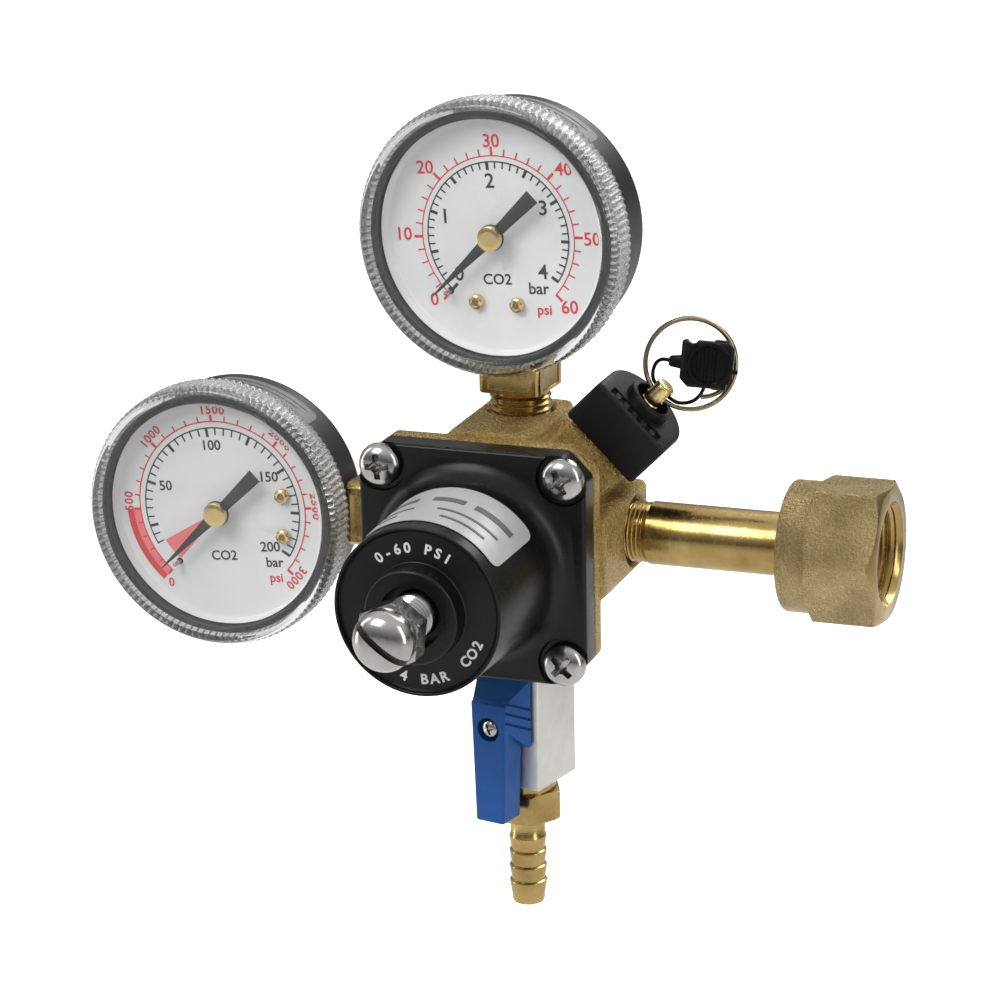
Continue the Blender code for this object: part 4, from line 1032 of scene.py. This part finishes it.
def make_shutoff():
    centre = valve_frame()
    facing = centre @ FRONT
    low, high = VALVE_BOTTOM - VALVE_CENTRE, VALVE_TOP - VALVE_CENTRE
    body = box("shutoff_body_nickel", (-8.0, -8.0, low), (8.0, 8.0, high), centre, NICKEL, 0.45, 3)
    spigot = [(0, 28.2), (6.1, 28.2)] + ridges(27.8, 17.6, 6.55, 6.05, 1.41)
    spigot += [(6.8, 17.2), (6.8, high - 1.0), (0, high - 1.0)]
    join(body, turned("spigot", spigot, centre))
    cut(body, turned("waterway", [
        (0, 30.0), (2.6, 30.0), (2.6, 6.8), (5.7, 6.8), (5.7, low + 0.8), (6.5, low - 0.1),
        (6.5, -30.0), (0, -30.0)], centre, None, 64))
    cut(body, rod("neck", 2.7, 12.0, 3.0, facing, None, 48),
        rod("well", 4.0, 12.0, 6.9, facing, None, 48))
    stand(body, "regulator", "shutoff_body")

    arm = prism("shutoff_lever_blue", [(-4.5, 6.2), (-3.6, -21.8), (3.6, -21.8), (4.5, 6.2)], 8.7,
                15.9, facing, BLUE, 0.6, 4)
    hub = loft("hub", (-6.9, -5.6, 6.9, 10.6, 8.7), (-4.1, 0.5, 4.1, 6.2, 15.7), facing, None, 0.6,
               4)
    toe = box("toe", (-6.0, -26.0, 6.0), (6.0, -20.6, 12.0),
              facing @ shift(0, -21.8, 15.9) @ turn(16, "X") @ shift(0, 20.6 - 0.2, -20.0))
    join(arm, hub)
    cut(arm, toe)
    for k in range(3):
        cut(arm, box("groove", (-0.4, -0.3, -4.5), (3.0, 0.3, 4.5),
                     facing @ shift(5.15, 5.0 - 2.3 * k, 11.6) @ turn(-21, "Y") @ turn(-24, "X"),
                     None, 0.1, 1))
    cut(arm, rod("bore", 2.75, 13.5, 5.0, facing, None, 48))
    cut(arm, rod("screw_hole", 1.5, 16.0, 12.0, facing, None, 32))
    cut(arm, rod("counterbore", 2.75, 18.0, 14.3, facing, None, 48))
    stand(arm, "shutoff_valve_turn", "shutoff_lever")
    screw = turned("lever_screw_steel", [
        (0, 15.9), (0.9, 15.85), (1.7, 15.55), (2.2, 15.0), (2.3, 14.6), (1.1, 14.6), (1.1, 9.4),
        (0, 9.4)], facing, STEEL, 48)
    for x, y in ((1.4, 0.34), (0.34, 1.4)):
        cut(screw, loft("cross", (-x * 0.4, -y * 0.6, x * 0.4, y * 0.6, 14.9), (-x, -y, x, y, 16.2),
                        facing @ turn(20, "Z")))
    stand(screw, "shutoff_valve_turn", "lever_screw")


def make_barb():
    axis = BODY @ turn(VALVE_TURN, "Z")
    hex_top, hex_bottom = -61.9, -68.7
    barb = prism("hose_barb_brass", rounded(hexagon(14.0, 7), 0.4, 3), hex_bottom,
                 hex_top, axis, BRASS)
    corner = 14.0 / math.sqrt(3)
    for edge, sign in ((hex_top, 1), (hex_bottom, -1)):
        cut(barb, turned("shave", [(corner - 0.8, edge + 0.1 * sign),
                                   (corner + 2, edge + 0.1 * sign),
                                   (corner + 2, edge - 1.6 * sign)], axis, closed=True))
    profile = [(0, -54.4), (5.0, -54.4)] + ridges(-54.8, VALVE_BOTTOM + 0.6, 5.4, 4.95, 1.41)
    profile += [(5.3, VALVE_BOTTOM - 0.3), (6.5, VALVE_BOTTOM - 0.3), (6.5, hex_top - 0.4),
                (5.4, hex_top - 0.4), (5.4, hex_bottom + 0.4), (4.6, hex_bottom + 0.3)]
    profile += arc(4.9, hex_bottom - 1.2, 1.0, 100, 180, 4) + [(3.9, -73.0)]
    for index in range(4):
        crest = -73.5 - 3.6 * index
        profile += [(4.15, crest + 0.1), (4.2, crest - 0.1), (4.2, crest - 0.35),
                    (3.75, crest - 3.25)]
    profile += [(3.65, -88.8), (3.4, -89.4), (0, -89.4)]
    join(barb, turned("barb_turned", profile, axis))
    cut(barb, turned("barb_bore", [(0, -50.0), (2.6, -50.0), (2.6, -88.9), (3.0, -89.6),
                                   (3.0, -95.0),
                                   (0, -95.0)], axis, None, 64))
    stand(barb, "regulator", "hose_barb")


# ---- CAD nodes that stay ----
KEPT = {
    "diaphragm": RUBBER, "diaphragm_plate": STEEL, "main_spring": WIRE, "spring_button": STEEL,
    "seat_nozzle": BRASS, "poppet": STEEL, "poppet_spring": WIRE, "inlet_filter": SINTER,
    "inlet_washer": NYLON, "relief_valve_body": BRASS, "relief_retainer": BRASS,
    "relief_seal_disc": RUBBER, "relief_spring": WIRE, "shutoff_ball": STEEL,
    "ball_seat_upper": NYLON, "ball_seat_lower": NYLON, "shutoff_stem": STEEL,
    "stem_packing": NYLON,
}
for gauge in ("outlet_gauge", "inlet_gauge"):
    for part in ("movement_frame", "pointer_arbor", "sector_gear", "bourdon_tube"):
        KEPT[f"{gauge}_{part}"] = BRASS


def dress_kept_nodes():
    for name, material in KEPT.items():
        mesh = frame["nodes"][name].data
        mesh.materials.clear()
        mesh.materials.append(material)
    for gauge in ("outlet_gauge", "inlet_gauge"):
        frame["nodes"][f"{gauge}_pointer_arbor"].data.materials[0] = BRIGHT_BRASS


# ---- studio ----
def area_light(name, place_m, aim_m, width_m, depth_m, power_w):
    data = bpy.data.lights.new(name, "AREA")
    data.energy = power_w
    data.shape = "RECTANGLE"
    data.size = width_m
    data.size_y = depth_m
    obj = bpy.data.objects.new(name, data)
    bpy.context.scene.collection.objects.link(obj)
    obj.location = place_m
    obj.rotation_euler = (Vector(aim_m) - Vector(place_m)).to_track_quat("-Z", "Y").to_euler()
    return obj


def make_studio():
    scene = bpy.context.scene
    world = bpy.data.worlds.new("studio")
    world.use_nodes = True
    tree = world.node_tree
    back = tree.nodes["Background"]
    back.inputs["Strength"].default_value = 1.0
    coords = node(tree, "ShaderNodeTexCoord")
    split = node(tree, "ShaderNodeSeparateXYZ")
    tree.links.new(coords.outputs["Generated"], split.inputs["Vector"])
    height = remap(tree, split.outputs["Z"], 0.05, 0.85, -0.05, 0.75)
    seen = node(tree, "ShaderNodeLightPath")
    choose = node(tree, "ShaderNodeMix", data_type="RGBA")
    tree.links.new(seen.outputs["Is Camera Ray"], choose.inputs[0])
    tree.links.new(height.outputs["Result"], choose.inputs[6])
    choose.inputs[7].default_value = (1.0, 1.0, 1.0, 1.0)
    tree.links.new(choose.outputs[2], back.inputs["Color"])
    scene.world = world
    scene.view_settings.view_transform = "Standard"
    work = bmesh.new()
    bmesh.ops.create_grid(work, x_segments=2, y_segments=2, size=6.0)
    floor = from_bmesh("floor", work, shift(z=FLOOR_HEIGHT), None)
    made, tree, shader = new_material("pale_floor")
    coords = node(tree, "ShaderNodeTexCoord")
    speckle = noise(tree, coords, 40.0, 3.0)
    tone = ramp(tree, speckle, grey(0.70), grey(0.73), 0.3, 0.7)
    tree.links.new(tone.outputs["Color"], shader.inputs["Base Color"])
    shader.inputs["Roughness"].default_value = 0.9
    shader.inputs["Emission Color"].default_value = (1.0, 1.0, 1.0, 1.0)
    plain = node(tree, "ShaderNodeLightPath")
    tree.links.new(plain.outputs["Is Camera Ray"], shader.inputs["Emission Strength"])
    floor.data.materials.append(made)
    centre = (BODY_X * MM, 0.0, 0.0)
    for name, place_m, width_m, depth_m, power_w in (
            ("key", (-0.45, -0.70, 0.80), 0.5, 0.5, 5.0),
            ("fill", (0.75, -0.35, 0.30), 0.25, 0.9, 2.4),
            ("rim", (0.10, 0.60, 0.60), 0.5, 0.5, 4.0),
            ("strip", (-0.75, -0.15, 0.15), 0.12, 0.9, 1.4)):
        area_light(name, place_m, centre, width_m, depth_m, power_w)


def make_camera():
    """About 800 mm away, 20 degrees to the right of the front and 17 above it."""
    data = bpy.data.cameras.new("camera")
    data.lens = 136.6
    data.sensor_width = 36.0
    data.clip_start = 0.01
    data.clip_end = 50.0
    camera = bpy.data.objects.new("camera", data)
    bpy.context.scene.collection.objects.link(camera)
    right = Vector((0.94098, 0.33805, -0.01728))
    up = Vector((-0.08410, 0.28294, 0.95546))
    back = Vector((0.32788, -0.89759, 0.29467))
    matrix = Matrix((right, up, back)).transposed().to_4x4()
    matrix.translation = Vector(CAMERA_PLACE) * MM
    camera.matrix_world = matrix
    bpy.context.scene.camera = camera


def outlet_frame():
    return BODY @ turn(OUTLET_TURN, "Z") @ shift(z=GAUGE_REACH)


def inlet_frame():
    return BODY @ shift(x=-GAUGE_REACH)


make_camera()
make_studio()
make_body()
make_bonnet()
make_bonnet_screws()
make_bonnet_label()
make_rim_lettering()
make_adjusting_screw()
make_inlet()
make_relief()
make_pull_ring()
make_seal()
make_gauge("outlet_gauge", outlet_frame(), 0.0)
make_gauge("inlet_gauge", inlet_frame(), -90.0)
outlet_print(outlet_frame() @ FRONT)
inlet_print(inlet_frame() @ FRONT)
make_shutoff()
make_barb()
dress_kept_nodes()
